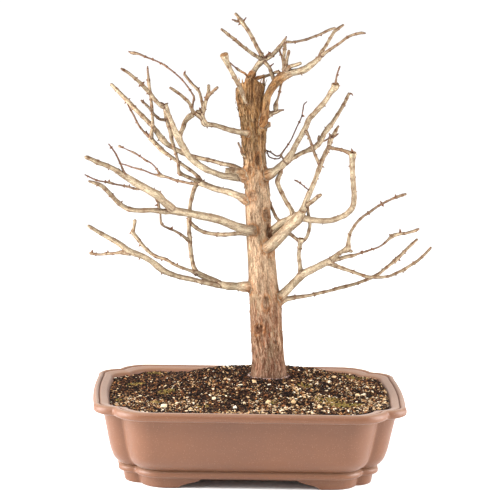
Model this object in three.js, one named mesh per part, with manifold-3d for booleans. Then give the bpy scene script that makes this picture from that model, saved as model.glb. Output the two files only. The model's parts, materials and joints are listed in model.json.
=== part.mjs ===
// Dawn redwood bonsai in winter, without its needles, in a rose-brown stoneware pot.
// Millimetres, +Z up, the front faces -Y and the pot's long side runs along X.

import * as THREE from 'three';
import { mergeVertices } from 'three/addons/utils/BufferGeometryUtils.js';
import Module from 'manifold-3d';

const wasm = await Module();
wasm.setup();

// Driving sizes of the pot: a 16 by 12 inch tray with indented corners.
const POT_LENGTH = 406;
const POT_DEPTH = 308;
const RIM_TOP = 107.8;
const END_BOW = 4;
const END_LOBE = [31, 60, 28];
const HOLLOW = [25.8, 27.4, 5];
const SIDE_LOBE = [70.3, 42, 42];
const FLOOR_TOP = 22;
const FLOOR_UNDERSIDE = 12.8;
const DRAIN_HOLE_RADIUS = 12;
const DRAIN_HOLE_PLACE = 90;
const SCREEN_SIDE = 46;
const SCREEN_THICKNESS = 1.6;
const SCREEN_HOLES = 3;
const SCREEN_BAR = 4;
const CLEARANCE = 0.35;
const FACET_TOLERANCE = 0.15;

// Driving sizes of the soil and the trunk's foot.
const SOIL_MIDDLE = [20, 20];
const SOIL_REACH = [190, 135];
const SOIL_EDGE_HEIGHT = 103;
const SOIL_MOUND = 22;
const SOIL_CELL = 15;
const GRIT_RELIEF = 1.2;
const GRIT_STONES = 56;
const STUMP_BOTTOM = 60;
const STUMP_TOP = 119;
const TRUNK_DEPTH_RATIO = 0.9;
const TRUNK_SIDES = 24;

// The limbs are drawn as [x, z, radius] on the upright plane through the trunk, as they
// show from this point in front, and each then moves along its line of sight to its depth.
const VIEWPOINT = new THREE.Vector3(-98, -3080, 777);

// Returns a seeded random source between 0 and 1.
function seededRandom(seed) {
  let state = seed;
  return () => {
    state = (state + 0x6d2b79f5) | 0;
    let t = Math.imul(state ^ (state >>> 15), 1 | state);
    t = (t + Math.imul(t ^ (t >>> 7), 61 | t)) ^ t;
    return ((t ^ (t >>> 14)) >>> 0) / 4294967296;
  };
}

function smoothStep(low, high, value) {
  const t = Math.min(Math.max((value - low) / (high - low), 0), 1);
  return t * t * (3 - 2 * t);
}

// Merges shared corners, drops empty triangles and turns the faces outwards.
function closedMesh(geometry) {
  const bare = geometry.clone();
  bare.deleteAttribute('normal');
  bare.deleteAttribute('uv');
  const merged = mergeVertices(bare, 1e-3);
  const place = merged.getAttribute('position');
  const faces = [];
  const [a, b, c] = [new THREE.Vector3(), new THREE.Vector3(), new THREE.Vector3()];
  let volume = 0;
  for (let i = 0; i < merged.index.count; i += 3) {
    const corners = [0, 1, 2].map((k) => merged.index.getX(i + k));
    if (new Set(corners).size < 3) continue;
    a.fromBufferAttribute(place, corners[0]);
    b.fromBufferAttribute(place, corners[1]);
    c.fromBufferAttribute(place, corners[2]);
    volume += a.dot(b.cross(c));
    faces.push(...corners);
  }
  if (volume < 0) faces.reverse();
  merged.setIndex(faces);
  return merged;
}

function solid(geometry) {
  const mesh = closedMesh(geometry);
  return new wasm.Manifold(new wasm.Mesh({
    numProp: 3,
    vertProperties: new Float32Array(mesh.getAttribute('position').array),
    triVerts: new Uint32Array(mesh.index.array),
  }));
}

function geometryOf(manifold) {
  const mesh = manifold.asOriginal().simplify(FACET_TOLERANCE).getMesh();
  const geometry = new THREE.BufferGeometry();
  geometry.setAttribute('position', new THREE.BufferAttribute(new Float32Array(mesh.vertProperties), 3));
  geometry.setIndex(new THREE.BufferAttribute(new Uint32Array(mesh.triVerts), 1));
  geometry.computeVertexNormals();
  return geometry;
}

// Points of an arc, with both ends.
function arcPoints(x, y, radius, from, to, steps) {
  const points = [];
  for (let i = 0; i <= steps; i += 1) {
    const angle = THREE.MathUtils.degToRad(from + ((to - from) * i) / steps);
    points.push([x + radius * Math.cos(angle), y + radius * Math.sin(angle)]);
  }
  return points;
}

// The pot's plan, this far inside its lip: a rectangle with bowed ends, whose corners are a
// lobe on the end and one on the side with a small hollow between. Each of these is given as
// its centre's distance from the lip's two sides, and its radius. Longer is how much less its
// ends are inset than its sides.
function potOutline(inset, longer = 0) {
  const halfLength = POT_LENGTH / 2 - inset + longer;
  const halfDepth = POT_DEPTH / 2 - inset;
  const shrink = 1 - inset / 220;
  const arc = ([fromEnd, fromSide, radius], start, end, steps) => arcPoints(
    halfLength - fromEnd * shrink, halfDepth - fromSide * shrink, radius * shrink, start, end, steps,
  );
  const lobeStart = halfDepth - END_LOBE[1] * shrink;
  const bowed = [0, 0.5].map((share) => [halfLength - END_BOW * shrink * share ** 2, lobeStart * share]);
  const lobes = [...arc(END_LOBE, 5, 81, 3), ...arc(HOLLOW, 232, 198, 1), ...arc(SIDE_LOBE, 36, 90, 3)];
  const corner = [...bowed, ...lobes];
  const mirrored = corner.slice(1).map(([x, y]) => [-x, y]).reverse();
  const half = [...corner, ...mirrored];
  return [...half, ...half.map(([x, y]) => [-x, -y])];
}

// Turns a profile of [inset, z, longer] round the pot's plan. A null inset is the middle.
function potShell(profile) {
  const sides = potOutline(0).length;
  const reach = (inset) => (inset === null ? 0 : POT_LENGTH / 2 - inset);
  const turned = profile.map(([inset, z]) => new THREE.Vector2(reach(inset), z));
  const geometry = new THREE.LatheGeometry(turned, sides);
  const place = geometry.getAttribute('position');
  profile.forEach(([inset, z, longer], ring) => {
    const outline = inset === null ? null : potOutline(inset, longer);
    for (let side = 0; side <= sides; side += 1) {
      const [x, y] = outline ? outline[side % sides] : [0, 0];
      place.setXYZ(side * profile.length + ring, x, y, z);
    }
  });
  return geometry;
}

const POT_WALL = [
  [null, FLOOR_UNDERSIDE], [46, FLOOR_UNDERSIDE, 6], [45, 15, 6], [40.6, 15.4, 6], [39.2, 17.2, 6],
  [39.2, 20.8, 6], [40.4, 22.8, 6], [42.4, 24, 6], [37, 28.2, 5.6], [32, 34.5, 5.2], [28.3, 43, 4.8],
  [25.3, 54, 4.6], [22.6, 67, 4.5], [20, 80, 4.5], [17.8, 91, 4.5], [16.6, 95.2, 4.3],
  [3.2, 96.6, 0], [0.7, 98.4, 0], [0, 101.6, 0], [0.8, 105.4, 0], [2.8, RIM_TOP - 0.3, 0], [5, RIM_TOP, 0],
  [7, 106.8, 0], [8, 105, 0], [9, 106.6, 0], [18, 105.2, 0],
];
const POT_INSIDE = [
  [19.4, 103.8, 0], [22.8, 98, 0], [28, 80, 2], [34, 54, 4], [37, 41, 4], [42, 30, 4], [50, 23.6, 4],
  [58, FLOOR_TOP, 4],
];
const FOOT_RING = [
  [46.4, FLOOR_UNDERSIDE + 0.6, 7], [47.2, 7, 7], [48.6, 1, 7], [49.6, 0, 7], [58, 0, 7], [59.4, 1.4, 7],
  [62, FLOOR_UNDERSIDE + 0.6, 7],
];

// The gap between two bracket feet: [distance from the middle, z], up one ogee side.
const FOOT_GAP = [[93, -1], [93, 0], [90, 1.2], [86.5, 3.6], [78, 6.4], [70, 8.6], [64, 10.6], [61, 13.2]];
const END_GAP_CUT = 37;

// A bar with the foot gap's section, which runs along Y, or along X where turned.
function footGapCutter(cutBack, turned) {
  const side = FOOT_GAP.map(([distance, z]) => [distance - cutBack, z]);
  const outline = [...side, ...side.map(([distance, z]) => [-distance, z]).reverse()];
  const shape = new THREE.Shape(outline.map(([distance, z]) => new THREE.Vector2(distance, z)));
  const bar = new THREE.ExtrudeGeometry(shape, { depth: POT_LENGTH, bevelEnabled: false });
  bar.translate(0, 0, -POT_LENGTH / 2);
  bar.rotateX(Math.PI / 2);
  if (turned) bar.rotateZ(Math.PI / 2);
  return solid(bar);
}

function makePot() {
  const shell = solid(potShell([...POT_WALL, ...POT_INSIDE, [null, FLOOR_TOP]]));
  const ring = solid(potShell([...FOOT_RING, FOOT_RING[0]]));
  const feet = ring.subtract(footGapCutter(0, false)).subtract(footGapCutter(END_GAP_CUT, true));
  let pot = shell.add(feet);
  for (const side of [-1, 1]) {
    const drill = new THREE.CylinderGeometry(DRAIN_HOLE_RADIUS, DRAIN_HOLE_RADIUS, 3 * FLOOR_TOP, 20);
    drill.rotateX(Math.PI / 2);
    drill.translate(side * DRAIN_HOLE_PLACE, 0, FLOOR_TOP);
    pot = pot.subtract(solid(drill));
  }
  return geometryOf(pot);
}

function boxSolid(length, depth, height, x, y, z) {
  const box = new THREE.BoxGeometry(length, depth, height);
  box.translate(x, y, z);
  return solid(box);
}

// A square of plastic mesh that keeps the soil from washing through a drain hole.
function makeDrainScreen(side) {
  const hole = (SCREEN_SIDE - (SCREEN_HOLES + 1) * SCREEN_BAR) / SCREEN_HOLES;
  const middle = side * DRAIN_HOLE_PLACE;
  const height = FLOOR_TOP + CLEARANCE + SCREEN_THICKNESS / 2;
  const holes = [];
  for (let column = 0; column < SCREEN_HOLES; column += 1) {
    for (let row = 0; row < SCREEN_HOLES; row += 1) {
      const x = middle + (column - (SCREEN_HOLES - 1) / 2) * (hole + SCREEN_BAR);
      const y = (row - (SCREEN_HOLES - 1) / 2) * (hole + SCREEN_BAR);
      holes.push(boxSolid(hole, hole, 3 * SCREEN_THICKNESS, x, y, height));
    }
  }
  const sheet = boxSolid(SCREEN_SIDE, SCREEN_SIDE, SCREEN_THICKNESS, middle, 0, height);
  return geometryOf(sheet.subtract(wasm.Manifold.union(holes)));
}

// The trunk's left and right edge at each height, as they show from the front.
const TRUNK_EDGES = [
  [STUMP_BOTTOM, 3, 50], [STUMP_TOP, 2, 51], [127, 2.6, 50.6], [131, 3.2, 50.1], [138, 3.7, 49.4],
  [146, 3.9, 47.7], [158, 3.3, 46], [173, 2.1, 44.4], [191, 0.9, 42.4], [209, 0, 41.2], [226, -1, 40.2],
  [240, -2, 36.9], [260, -2.8, 34.2], [280, -4, 31.8], [300, -5.9, 28.5], [322, -7.6, 25.8], [345, -9.2, 24],
  [370, -9.6, 22.6], [390, -10.2, 19.6], [410, -12.2, 16.6], [428, -15.2, 15.6], [446, -16.2, 16.4],
  [462, -18.3, 15.4], [476, -21.8, 13.2], [490, -24.9, 11.8], [501, -25.4, 13],
];
const TRUNK_CROWN = [[-26, 501], [-18, 507], [-12, 510], [-8, 516], [-2, 516], [5, 511], [12, 508]];
const CROWN_HOLLOW = 503;

// The value on a row of [place, value] pairs, in a straight line between them.
function between(rows, place) {
  const last = rows[rows.length - 1];
  if (place <= rows[0][0]) return rows[0][1];
  if (place >= last[0]) return last[1];
  const next = rows.findIndex((row) => row[0] > place);
  const [low, high] = [rows[next - 1], rows[next]];
  return low[1] + ((high[1] - low[1]) * (place - low[0])) / (high[0] - low[0]);
}

// Furrows that run up the trunk and drift round it, as a share of its radius.
function barkRelief(side, z) {
  if (z <= STUMP_TOP) return 1;
  const ridge = side % 2 === 0 ? 0.022 : -0.022;
  const drift = 0.016 * Math.sin(side * 1.9 + z * 0.021) + 0.012 * Math.sin(side * 0.9 - z * 0.043);
  return 1 + (ridge + drift) * smoothStep(STUMP_TOP + 3, 150, z);
}

function trunkSolid() {
  const rings = TRUNK_EDGES.length;
  const geometry = new THREE.CylinderGeometry(1, 1, 1, TRUNK_SIDES, rings - 1);
  const place = geometry.getAttribute('position');
  for (let i = 0; i < place.count; i += 1) {
    const ring = Math.round((place.getY(i) + 0.5) * (rings - 1));
    const [z, left, right] = TRUNK_EDGES[ring];
    const middle = (left + right) / 2;
    const centre = Math.hypot(place.getX(i), place.getZ(i)) < 0.5;
    const angle = Math.atan2(place.getZ(i), place.getX(i));
    const side = (Math.round((angle / (2 * Math.PI)) * TRUNK_SIDES) + TRUNK_SIDES) % TRUNK_SIDES;
    const radius = centre ? 0 : ((right - left) / 2) * barkRelief(side, z);
    const x = middle + radius * Math.cos(angle);
    const y = -radius * Math.sin(angle) * TRUNK_DEPTH_RATIO;
    const crown = centre ? CROWN_HOLLOW : between(TRUNK_CROWN, x);
    place.setXYZ(i, x, y, ring === rings - 1 ? crown : z);
  }
  return solid(geometry);
}

// Limbs. "from" names what a limb grows out of, "meets" what it reaches with its tip.
// "start" and "reach" are its depths there where no other limb gives them, and "bow" is
// how far it bends back on its way.
const LIMBS = [
  // The top: a chopped trunk with a pruned crown of shoots.
  { name: 'crown_cut', from: 'trunk', start: -17, reach: -42, points: [
    [-9, 478, 2.6], [-12, 486, 2.8], [-15, 494, 2.8], [-17.5, 500, 2.7], [-20, 506, 2.6],
    [-24, 512.5, 2.5], [-28, 520, 2.5], [-32, 527, 2.6], [-35.5, 533.5, 3], [-38.5, 540, 3.9],
    [-40.3, 545.5, 4.9]] },
  { name: 'crown_thread', from: 'trunk', start: -3, reach: -27, points: [
    [-7, 514, 1.3], [-13, 521.5, 1], [-18, 524.3, 1], [-22, 526.6, 1.7], [-25.6, 529.4, 0.9],
    [-29.5, 532.5, 0.8], [-34, 536.5, 0.8]] },
  { name: 'peak', from: 'trunk', start: 0, reach: 4, points: [
    [-7.5, 500, 5.4], [-6.8, 513, 4.2], [-4, 520, 3.4], [-0.4, 526.8, 3.1], [3, 532, 3.1], [7, 536.5, 3.7],
    [10.4, 540, 3.6]] },
  { name: 'peak_left', from: 'peak', reach: 28, points: [
    [9.5, 538, 2.9], [8.3, 545, 2.5], [5.8, 549.2, 2.3], [2.7, 554.3, 2.2], [-0.4, 560, 2.2],
    [-3.1, 565.3, 2.2], [-6.5, 571, 2.2], [-9.6, 576.2, 2.2], [-13.4, 581.3, 2.3], [-17.2, 586.4, 2.7],
    [-20.5, 589.8, 2.8], [-23.2, 594.5, 1.9], [-26.6, 598.1, 1.7]] },
  { name: 'peak_left_spur', from: 'peak_left', reach: 22, points: [
    [-19, 588.5, 1.7], [-24.5, 588.3, 1.5], [-28, 589.6, 1.2], [-30.8, 590.4, 0.9]] },
  { name: 'peak_left_prick', from: 'peak_left', reach: 30, points: [
    [-17, 588, 1.2], [-15.2, 590.3, 1], [-13, 593.2, 0.7]] },
  { name: 'peak_low', from: 'peak', reach: -38, points: [
    [9.5, 539.5, 2.6], [4.4, 542.5, 2.2], [-1.5, 545.7, 2.1], [-7.5, 549.7, 2], [-12, 553.2, 1.9],
    [-17.3, 556.9, 1.9], [-22.5, 561.2, 1.9], [-28.6, 566.3, 1.8], [-33.8, 569.9, 1.8],
    [-39.1, 574.2, 1.7], [-44.3, 577.8, 1.5]] },
  { name: 'peak_right', from: 'peak', reach: -6, points: [
    [9.8, 539.5, 3], [14.8, 542, 2.9], [19.2, 544.4, 2.6], [22.8, 547.2, 2.5], [26.4, 551, 2.5],
    [30, 555.5, 2.4], [33.6, 559.4, 2.4], [36, 563.2, 2.3], [37.6, 566.3, 1.6], [39.3, 570, 0.9]] },
  { name: 'peak_right_snag', from: 'peak_right', reach: -9, points: [
    [12, 541.5, 1.4], [15.5, 546.5, 1.1], [19, 549.6, 0.8]] },
  { name: 'leader', from: 'trunk', start: -7, reach: -20, points: [
    [4, 450, 4.8], [10.5, 459, 4.8], [13.5, 470, 4.4], [14.4, 479.2, 4.2], [15.4, 486.6, 4.2],
    [17.1, 494.1, 4.1], [20.6, 501.6, 4.3], [25, 507.7, 4.8], [29, 513, 5.6], [34, 517.5, 5.6],
    [41.5, 521.8, 5], [48.5, 524.1, 4.2], [56, 525.6, 4], [62, 527.6, 4.4], [66.5, 530.2, 4.2],
    [72, 534.5, 3.6], [77.4, 538.8, 3], [81.5, 543.1, 2.7], [85.6, 546.8, 2.3]] },
  { name: 'leader_low', from: 'leader', reach: -55, points: [
    [84.5, 546, 2.3], [89, 549.8, 2], [95.9, 554.6, 1.8], [106.2, 561.7, 1.6], [111, 565.3, 1.6],
    [115.1, 568.8, 1.6], [119.9, 571.7, 1.6], [124.8, 573.9, 1.6], [130.3, 575.4, 1.6],
    [135.5, 576.5, 1.7], [140.5, 576.2, 1]] },
  { name: 'leader_high', from: 'leader', reach: 5, points: [
    [82.5, 544.3, 2.4], [85.5, 552.2, 2], [88.8, 557.1, 1.9], [92.2, 562.8, 1.9], [97.6, 572.7, 1.8],
    [100.2, 577, 1.9], [103.7, 580, 1.8], [107.8, 583.4, 1.7], [111.9, 586.3, 1.4]] },
  { name: 'leader_prop', from: 'peak_right', meets: 'leader', points: [
    [36.5, 562.5, 2], [37.5, 557.5, 1.9], [37.1, 551, 1.9], [36.4, 543.7, 1.9], [36.6, 536.4, 2.1],
    [37.4, 529, 2.3], [38, 522, 2.4]] },
  { name: 'leader_prop_thread', from: 'peak_right', meets: 'leader_prop', points: [
    [30, 555, 1.3], [31.5, 550, 1.2], [33.6, 544.8, 1.1], [35, 539.5, 1.1], [36.4, 534, 1.2]] },
  { name: 'leader_shoot', from: 'leader', reach: -16, points: [
    [39, 522, 2.4], [39.8, 532.8, 1.8], [40.6, 539.5, 1.7], [41.6, 545.3, 1.7], [43, 551.9, 1.6]] },
  { name: 'leader_stub', from: 'leader', reach: -24, points: [
    [40, 524, 2.6], [45, 531.5, 2.2], [52, 533.9, 2.1], [58.3, 536.2, 2]] },
  { name: 'crown_arch', from: 'peak_right', reach: 35, points: [
    [36, 563, 1.9], [41, 563.2, 1.7], [46, 563, 1.4], [52, 563.8, 1.4], [65.5, 567, 1.5],
    [72.4, 569.8, 1.5], [79.3, 572.4, 1.5], [86.2, 575.6, 1.5], [91.7, 578.5, 1.6], [96.6, 580.7, 1.7],
    [101.4, 582.2, 1.4]] },
  { name: 'crown_link', from: 'peak', meets: 'leader', points: [
    [10, 539, 2.6], [14.9, 533.9, 2.1], [18.5, 529.5, 2], [20.6, 524.3, 2.1], [22.5, 519, 2.3],
    [26, 511, 2.3]] },
  { name: 'crown_link_prick', from: 'crown_link', reach: -4, points: [
    [18, 530, 1.2], [20.5, 532.6, 0.9], [23.5, 535, 0.7]] },
  { name: 'crown_back', from: 'trunk', start: 6, meets: 'leader', bow: 8, points: [
    [-1, 508, 2.6], [2.5, 515.6, 1.9], [7.9, 517.5, 1.7], [15.2, 519.3, 1.7], [22, 521.8, 1.7],
    [28, 524.5, 1.8], [34, 522, 2]] },
  // The upper right.
  { name: 'right_stub', from: 'trunk', start: -4, reach: -16, points: [
    [10, 460, 4.2], [17, 468, 3.6], [22.8, 471.1, 2.6], [28, 472.8, 2.4], [33.2, 474.8, 1.6],
    [38, 475.7, 0.9]] },
  { name: 'right_riser', from: 'right_stub', meets: 'leader', points: [
    [28, 472.5, 2.3], [27.6, 478, 2.8], [27.8, 483, 2.3], [29, 487.5, 1.6], [30.2, 490.5, 1.3],
    [31.5, 496, 1.3], [32.8, 502.8, 1.3], [33.5, 508, 1.5], [34, 516, 1.8]] },
  { name: 'right_cut', from: 'trunk', start: -5, reach: -9, points: [
    [8, 450, 4.4], [16, 455.8, 3.7], [20.8, 456.6, 3]] },
  { name: 'right_high', from: 'trunk', start: -4, reach: -2, points: [
    [4, 388, 5.8], [19, 391.5, 5.6], [26.9, 395, 5], [34.3, 401, 4.5], [38.7, 405.3, 4.3],
    [44, 410.5, 4.1]] },
  { name: 'right_high_left', from: 'right_high', reach: -34, points: [
    [42, 408.5, 3.9], [46.5, 415, 3.7], [50.6, 421.6, 3.4], [53.4, 428.3, 3.1], [57, 435, 3],
    [60.5, 441.6, 3], [64.1, 448.4, 3.2], [67.5, 455, 3.2], [69.7, 461.7, 3], [72, 466, 3],
    [77.6, 471.8, 2.9], [83.2, 478.5, 3], [89.2, 485.2, 3], [93.7, 491.9, 2.8], [97.7, 498.7, 2.9],
    [101.5, 503.8, 3.7], [103.6, 508, 4.5], [103.8, 510.5, 4.2]] },
  { name: 'right_high_spike', from: 'right_high_left', reach: -42, points: [
    [103.6, 506, 1.8], [104.1, 512, 1.3], [104.8, 518.3, 1.1], [106, 523.9, 1], [107.2, 528.1, 1],
    [108.9, 533, 1]] },
  { name: 'right_high_right', from: 'right_high', reach: 42, points: [
    [41, 407, 3.8], [49, 412.5, 2.8], [54.1, 415.2, 2.5], [60, 419, 2.5], [67.4, 422.6, 2.5],
    [72, 424.6, 2.9], [76.3, 426.5, 3.7], [80.3, 429, 3.1], [83.8, 432.3, 3], [86.8, 436.8, 3],
    [89.2, 442.1, 2.8], [91, 446.6, 2.8], [94.5, 451, 3.2], [97, 454.6, 3.1], [99.5, 457.6, 2.6],
    [104.6, 465.7, 2.3], [109.7, 474.4, 2.1], [115.4, 484.5, 2], [118, 489.8, 1.9], [119.8, 494.5, 1.8],
    [121.6, 498.6, 1.5]] },
  { name: 'right_high_hook', from: 'right_high_right', reach: 44, points: [
    [121, 496.5, 1.2], [124.2, 498.5, 1], [126.5, 496, 0.7]] },
  { name: 'right_high_snag', from: 'right_high_right', reach: 12, points: [
    [86, 434.5, 1.8], [83.6, 439, 1.4], [84.5, 442.8, 1.3]] },
  { name: 'right_high_thread', from: 'right_high_right', reach: 34, points: [
    [86.2, 435.5, 1.7], [92, 436.8, 1.2], [95.5, 438.8, 0.9], [98, 442.3, 0.8], [99.2, 445, 0.7]] },
  { name: 'right_whip', from: 'right_high', reach: 20, points: [
    [40.5, 407.5, 1.3], [38.3, 413, 1], [35.7, 416.6, 1.4], [38, 421, 1], [45.1, 431.7, 0.8],
    [48.7, 437.7, 0.8], [54.3, 451.2, 0.8], [60, 464, 0.8], [61.4, 467.8, 0.8], [62.7, 476, 0.75],
    [63.9, 483, 0.75], [67.6, 486.9, 0.6]] },
  { name: 'right_whip_left', from: 'right_whip', reach: 14, points: [
    [36, 417, 1.1], [29.9, 415.8, 0.9], [26.1, 417.9, 0.9], [21.6, 420.8, 0.9], [13, 424, 1]] },
  { name: 'right_whip_low', from: 'right_whip', reach: 8, points: [
    [36, 416, 0.9], [33.7, 412.8, 0.8], [28.5, 412, 0.75], [24, 413, 0.75], [20.3, 414.8, 0.75],
    [17.8, 421, 0.7]] },
  // The thick limb that comes forward on the right.
  { name: 'right_front', from: 'trunk', start: -10, reach: -44, points: [
    [8, 285, 7.4], [22, 294, 6.9], [28.8, 301, 6.5], [35.3, 309.1, 6.2], [43.2, 317.6, 6.1],
    [49.3, 324.6, 6.1], [56, 330.8, 6.2], [61, 336, 6], [64, 342, 4.6], [65, 344.5, 3.6]] },
  { name: 'right_front_twin', from: 'trunk', start: 0, reach: -27, points: [
    [16, 304, 5.2], [26, 316, 4.6], [32, 323, 4.4], [38.5, 328.3, 4.3], [46, 331.9, 4.2], [53, 336.4, 4.2],
    [59, 340, 3.6]] },
  { name: 'right_bow', from: 'right_front', reach: -84, points: [
    [56, 332, 4.6], [63, 335.6, 4], [69.4, 334.6, 3.7], [74.7, 333.3, 3.6], [80.7, 332.7, 3.4],
    [88.2, 332.1, 3.3], [95, 332.1, 3.2], [103.1, 332.9, 3.1], [109.7, 335.1, 3.1], [115.6, 337.5, 3.1],
    [121.1, 340.6, 3.1], [125.6, 344.4, 3.1], [129, 348.3, 3.2], [130.8, 352.6, 3.1], [131.8, 363.4, 3],
    [130.7, 378.3, 2.9], [129.1, 393.2, 3], [128.2, 408.2, 3.1], [128.2, 414, 3.4], [128.6, 418.5, 4.2],
    [128.8, 422, 4]] },
  { name: 'right_fork', from: 'right_front', reach: -12, points: [
    [62.5, 338, 4.4], [65.8, 345.5, 3.9], [67.9, 350.7, 3.7], [70.2, 358.3, 3.3], [72.7, 365.9, 3.2],
    [76, 373.4, 2.9], [79.1, 381, 2.7], [84.2, 396.1, 2.7], [86, 401.4, 2.9], [87.6, 407.4, 2.7],
    [90.7, 415, 2.5], [94.3, 422.6, 2.6], [97.4, 429, 2.7], [98.6, 435.2, 2.6], [100.4, 440.2, 2.6],
    [103.7, 445.7, 2.2], [106.4, 451, 1.9], [109.3, 456, 1.3]] },
  { name: 'right_bow_arm', from: 'right_bow', meets: 'right_fork', points: [
    [128, 419.6, 3.2], [122.9, 422.1, 2.4], [117.5, 424, 2], [112.2, 425.4, 1.9], [106.9, 426.3, 1.9],
    [102, 427, 2], [97, 428.4, 2.2]] },
  { name: 'right_fork_snag', from: 'right_fork', reach: -20, points: [
    [99.8, 438, 1.5], [98.5, 443, 1.1], [97.6, 446.2, 0.9]] },
  { name: 'right_fork_spur', from: 'right_fork', reach: -24, points: [
    [101, 441, 1.5], [105.5, 443.5, 1.3], [109, 446, 0.9]] },
  { name: 'right_fork_link', from: 'right_fork', meets: 'right_high_left', points: [
    [87.3, 404, 2.2], [82.5, 412.6, 1.8], [79.8, 418.5, 1.7], [77.8, 423.5, 1.6], [75.7, 429.9, 1.6],
    [73.6, 435.2, 1.5], [71.5, 440.4, 1.5], [69.4, 445.7, 1.6], [66, 452, 1.8]] },
  { name: 'right_fork_stub', from: 'right_fork', reach: -52, points: [
    [69, 350.5, 2.6], [73.4, 353.9, 2.3], [77, 356.8, 2.3], [81.4, 360.6, 2.4], [85.1, 364.1, 2.4],
    [88.8, 366.3, 1.7]] },
  { name: 'right_fork_thread', from: 'right_fork', reach: -58, points: [
    [75, 371, 1], [72, 372.7, 0.8], [64.6, 378.5, 0.75], [60.8, 381.4, 0.75], [57.1, 383.6, 1.2],
    [54, 384.7, 0.7]] },
  { name: 'right_elbow', from: 'right_front_twin', meets: 'right_high', points: [
    [54, 337, 3.2], [50.4, 346.6, 2.6], [46.6, 352.6, 2.5], [42.7, 358.5, 2.4], [39.6, 364.5, 2.4],
    [36.5, 370.4, 2.5], [33.3, 377.2, 2.6], [32, 382.4, 2.9], [33.1, 387.5, 2.6], [35.2, 392.3, 2.3],
    [36.6, 401.5, 2.4]] },
  { name: 'right_behind', from: 'right_front_twin', reach: 19, points: [
    [37, 328, 2.3], [34, 332.8, 1.9], [31.2, 335.7, 1.8], [28.1, 342.5, 1.8], [24.9, 349.2, 1.7],
    [22.6, 355.2, 1.7], [19.6, 362, 1.6]] },
  // The lower right.
  { name: 'right_low', from: 'trunk', start: -2, reach: -24, points: [
    [27, 224, 5.6], [38, 231, 5.2], [45.6, 238, 4.8], [51.4, 244.4, 4.7], [56.5, 249.8, 4.6],
    [61.6, 255.2, 4.7], [66, 259.8, 4.9], [71.2, 263.7, 4.7], [76.4, 266.3, 4.4], [82.3, 269.2, 4.1],
    [94.1, 275.4, 3.9], [100, 278, 4.4], [105, 280, 4.6]] },
  { name: 'right_low_riser', from: 'right_low', reach: -30, points: [
    [65.2, 260, 3.3], [64.3, 269.7, 2.5], [63.4, 275, 2.3], [62.5, 281, 2.3], [62, 286.3, 2.3],
    [62.8, 297, 2.4], [63.2, 302, 2.8], [64.1, 306.5, 4.2], [64.2, 308.2, 4.6]] },
  { name: 'ring_left', from: 'right_front', meets: 'right_low_riser', points: [
    [46, 317, 2.4], [53.4, 311.6, 2], [57.2, 308.6, 2], [63, 304.5, 2.2]] },
  { name: 'ring_right', from: 'right_low_riser', meets: 'right_fork', points: [
    [64.5, 304, 2.3], [69.3, 307.5, 1.9], [72.2, 311.5, 1.9], [73.9, 316.8, 1.9], [75, 322.1, 1.9],
    [75.4, 327, 1.9], [74.6, 333, 1.8], [73, 341, 1.8], [71.6, 347, 1.9], [69.4, 354.5, 2.2]] },
  { name: 'right_low_high', from: 'right_low', reach: -80, points: [
    [102, 279, 3.8], [108, 284.3, 3], [112, 287.9, 2.7], [117.7, 291.9, 2.8], [122.5, 294.2, 3.6],
    [125.6, 296.4, 4], [126, 300, 3], [126.2, 305, 2.3], [126.9, 312, 2], [128.8, 318.6, 1.8],
    [132.1, 324.2, 1.7], [135.6, 329.8, 1.6], [140.9, 335.5, 1.6], [146.3, 340.2, 1.5], [150.8, 343, 1.6],
    [161.5, 351.4, 1.4], [173.2, 358.3, 1.3], [178.7, 361.1, 1.3], [185, 364, 1.5], [191.3, 366.4, 1.7],
    [199, 368.9, 1.4]] },
  { name: 'right_low_heel', from: 'right_low_high', reach: -38, points: [
    [124.5, 295, 2.8], [131, 292.3, 1.7]] },
  { name: 'right_low_mid', from: 'right_low', reach: 30, points: [
    [102.5, 278.6, 3.4], [110, 281.4, 2.6], [121.3, 284.6, 2.4], [126, 286, 2.4], [132.2, 287, 2.2],
    [138.5, 289.2, 1.4], [149.4, 292.9, 1.3], [154.9, 294.9, 1.2], [161.2, 297, 1.1], [166.7, 299.4, 1.1],
    [172.1, 303.2, 1.2], [177.4, 308.3, 1.5], [182.2, 313, 2.2], [187.3, 315.4, 2.4], [192.8, 316.5, 1.9],
    [200, 317.5, 1.7], [206.4, 319.3, 1.7], [211.9, 321, 1.8], [217.2, 323.6, 1.4]] },
  { name: 'right_low_drop', from: 'right_low', reach: -62, points: [
    [102, 277, 3.6], [108, 274, 2.7], [116.2, 271.1, 2.4], [125.4, 268, 2.2], [134.7, 265, 2.1],
    [143.9, 261.9, 2], [150.4, 259.8, 2], [157.7, 259, 1.9], [171.4, 259.3, 1.8], [180.5, 260.6, 1.7],
    [187.8, 263.9, 1.8], [194, 267, 1.8], [198.6, 268.9, 2.1], [205.7, 273.9, 1.8], [216.6, 281.2, 1.8],
    [221.9, 286, 1.7], [227.2, 291.4, 1.7], [232.4, 297.3, 1.6], [233.9, 299.8, 1.2]] },
  { name: 'right_lowest', from: 'trunk', start: 3, reach: 72, points: [
    [28, 217, 5.2], [38, 224.6, 4.5], [45, 228, 3.6], [50, 229, 3.1], [57, 230.5, 2.7], [64.4, 231.6, 2.3],
    [79.3, 234, 2], [86.8, 236.1, 2.1], [101.7, 239.7, 1.9], [109.1, 241.9, 2], [116.8, 244.3, 2.2],
    [135.1, 249.4, 1.9], [144.2, 252.7, 1.9], [151.4, 255.5, 2], [158.5, 258.9, 2.3], [166.7, 263.4, 2],
    [175.6, 271.2, 1.9], [181.9, 276.4, 2], [187.3, 281, 2.5], [191.7, 285.3, 2.2], [196.1, 290, 2],
    [205, 299.4, 1.9], [215.6, 309.8, 1.6]] },
  // The upper left.
  { name: 'left_high', from: 'trunk', start: -13, reach: -32, points: [
    [-2, 443, 3.4], [-12, 445, 3.1], [-20, 446.3, 3.1], [-30, 448.3, 2.9], [-40, 451.2, 2.8],
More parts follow.
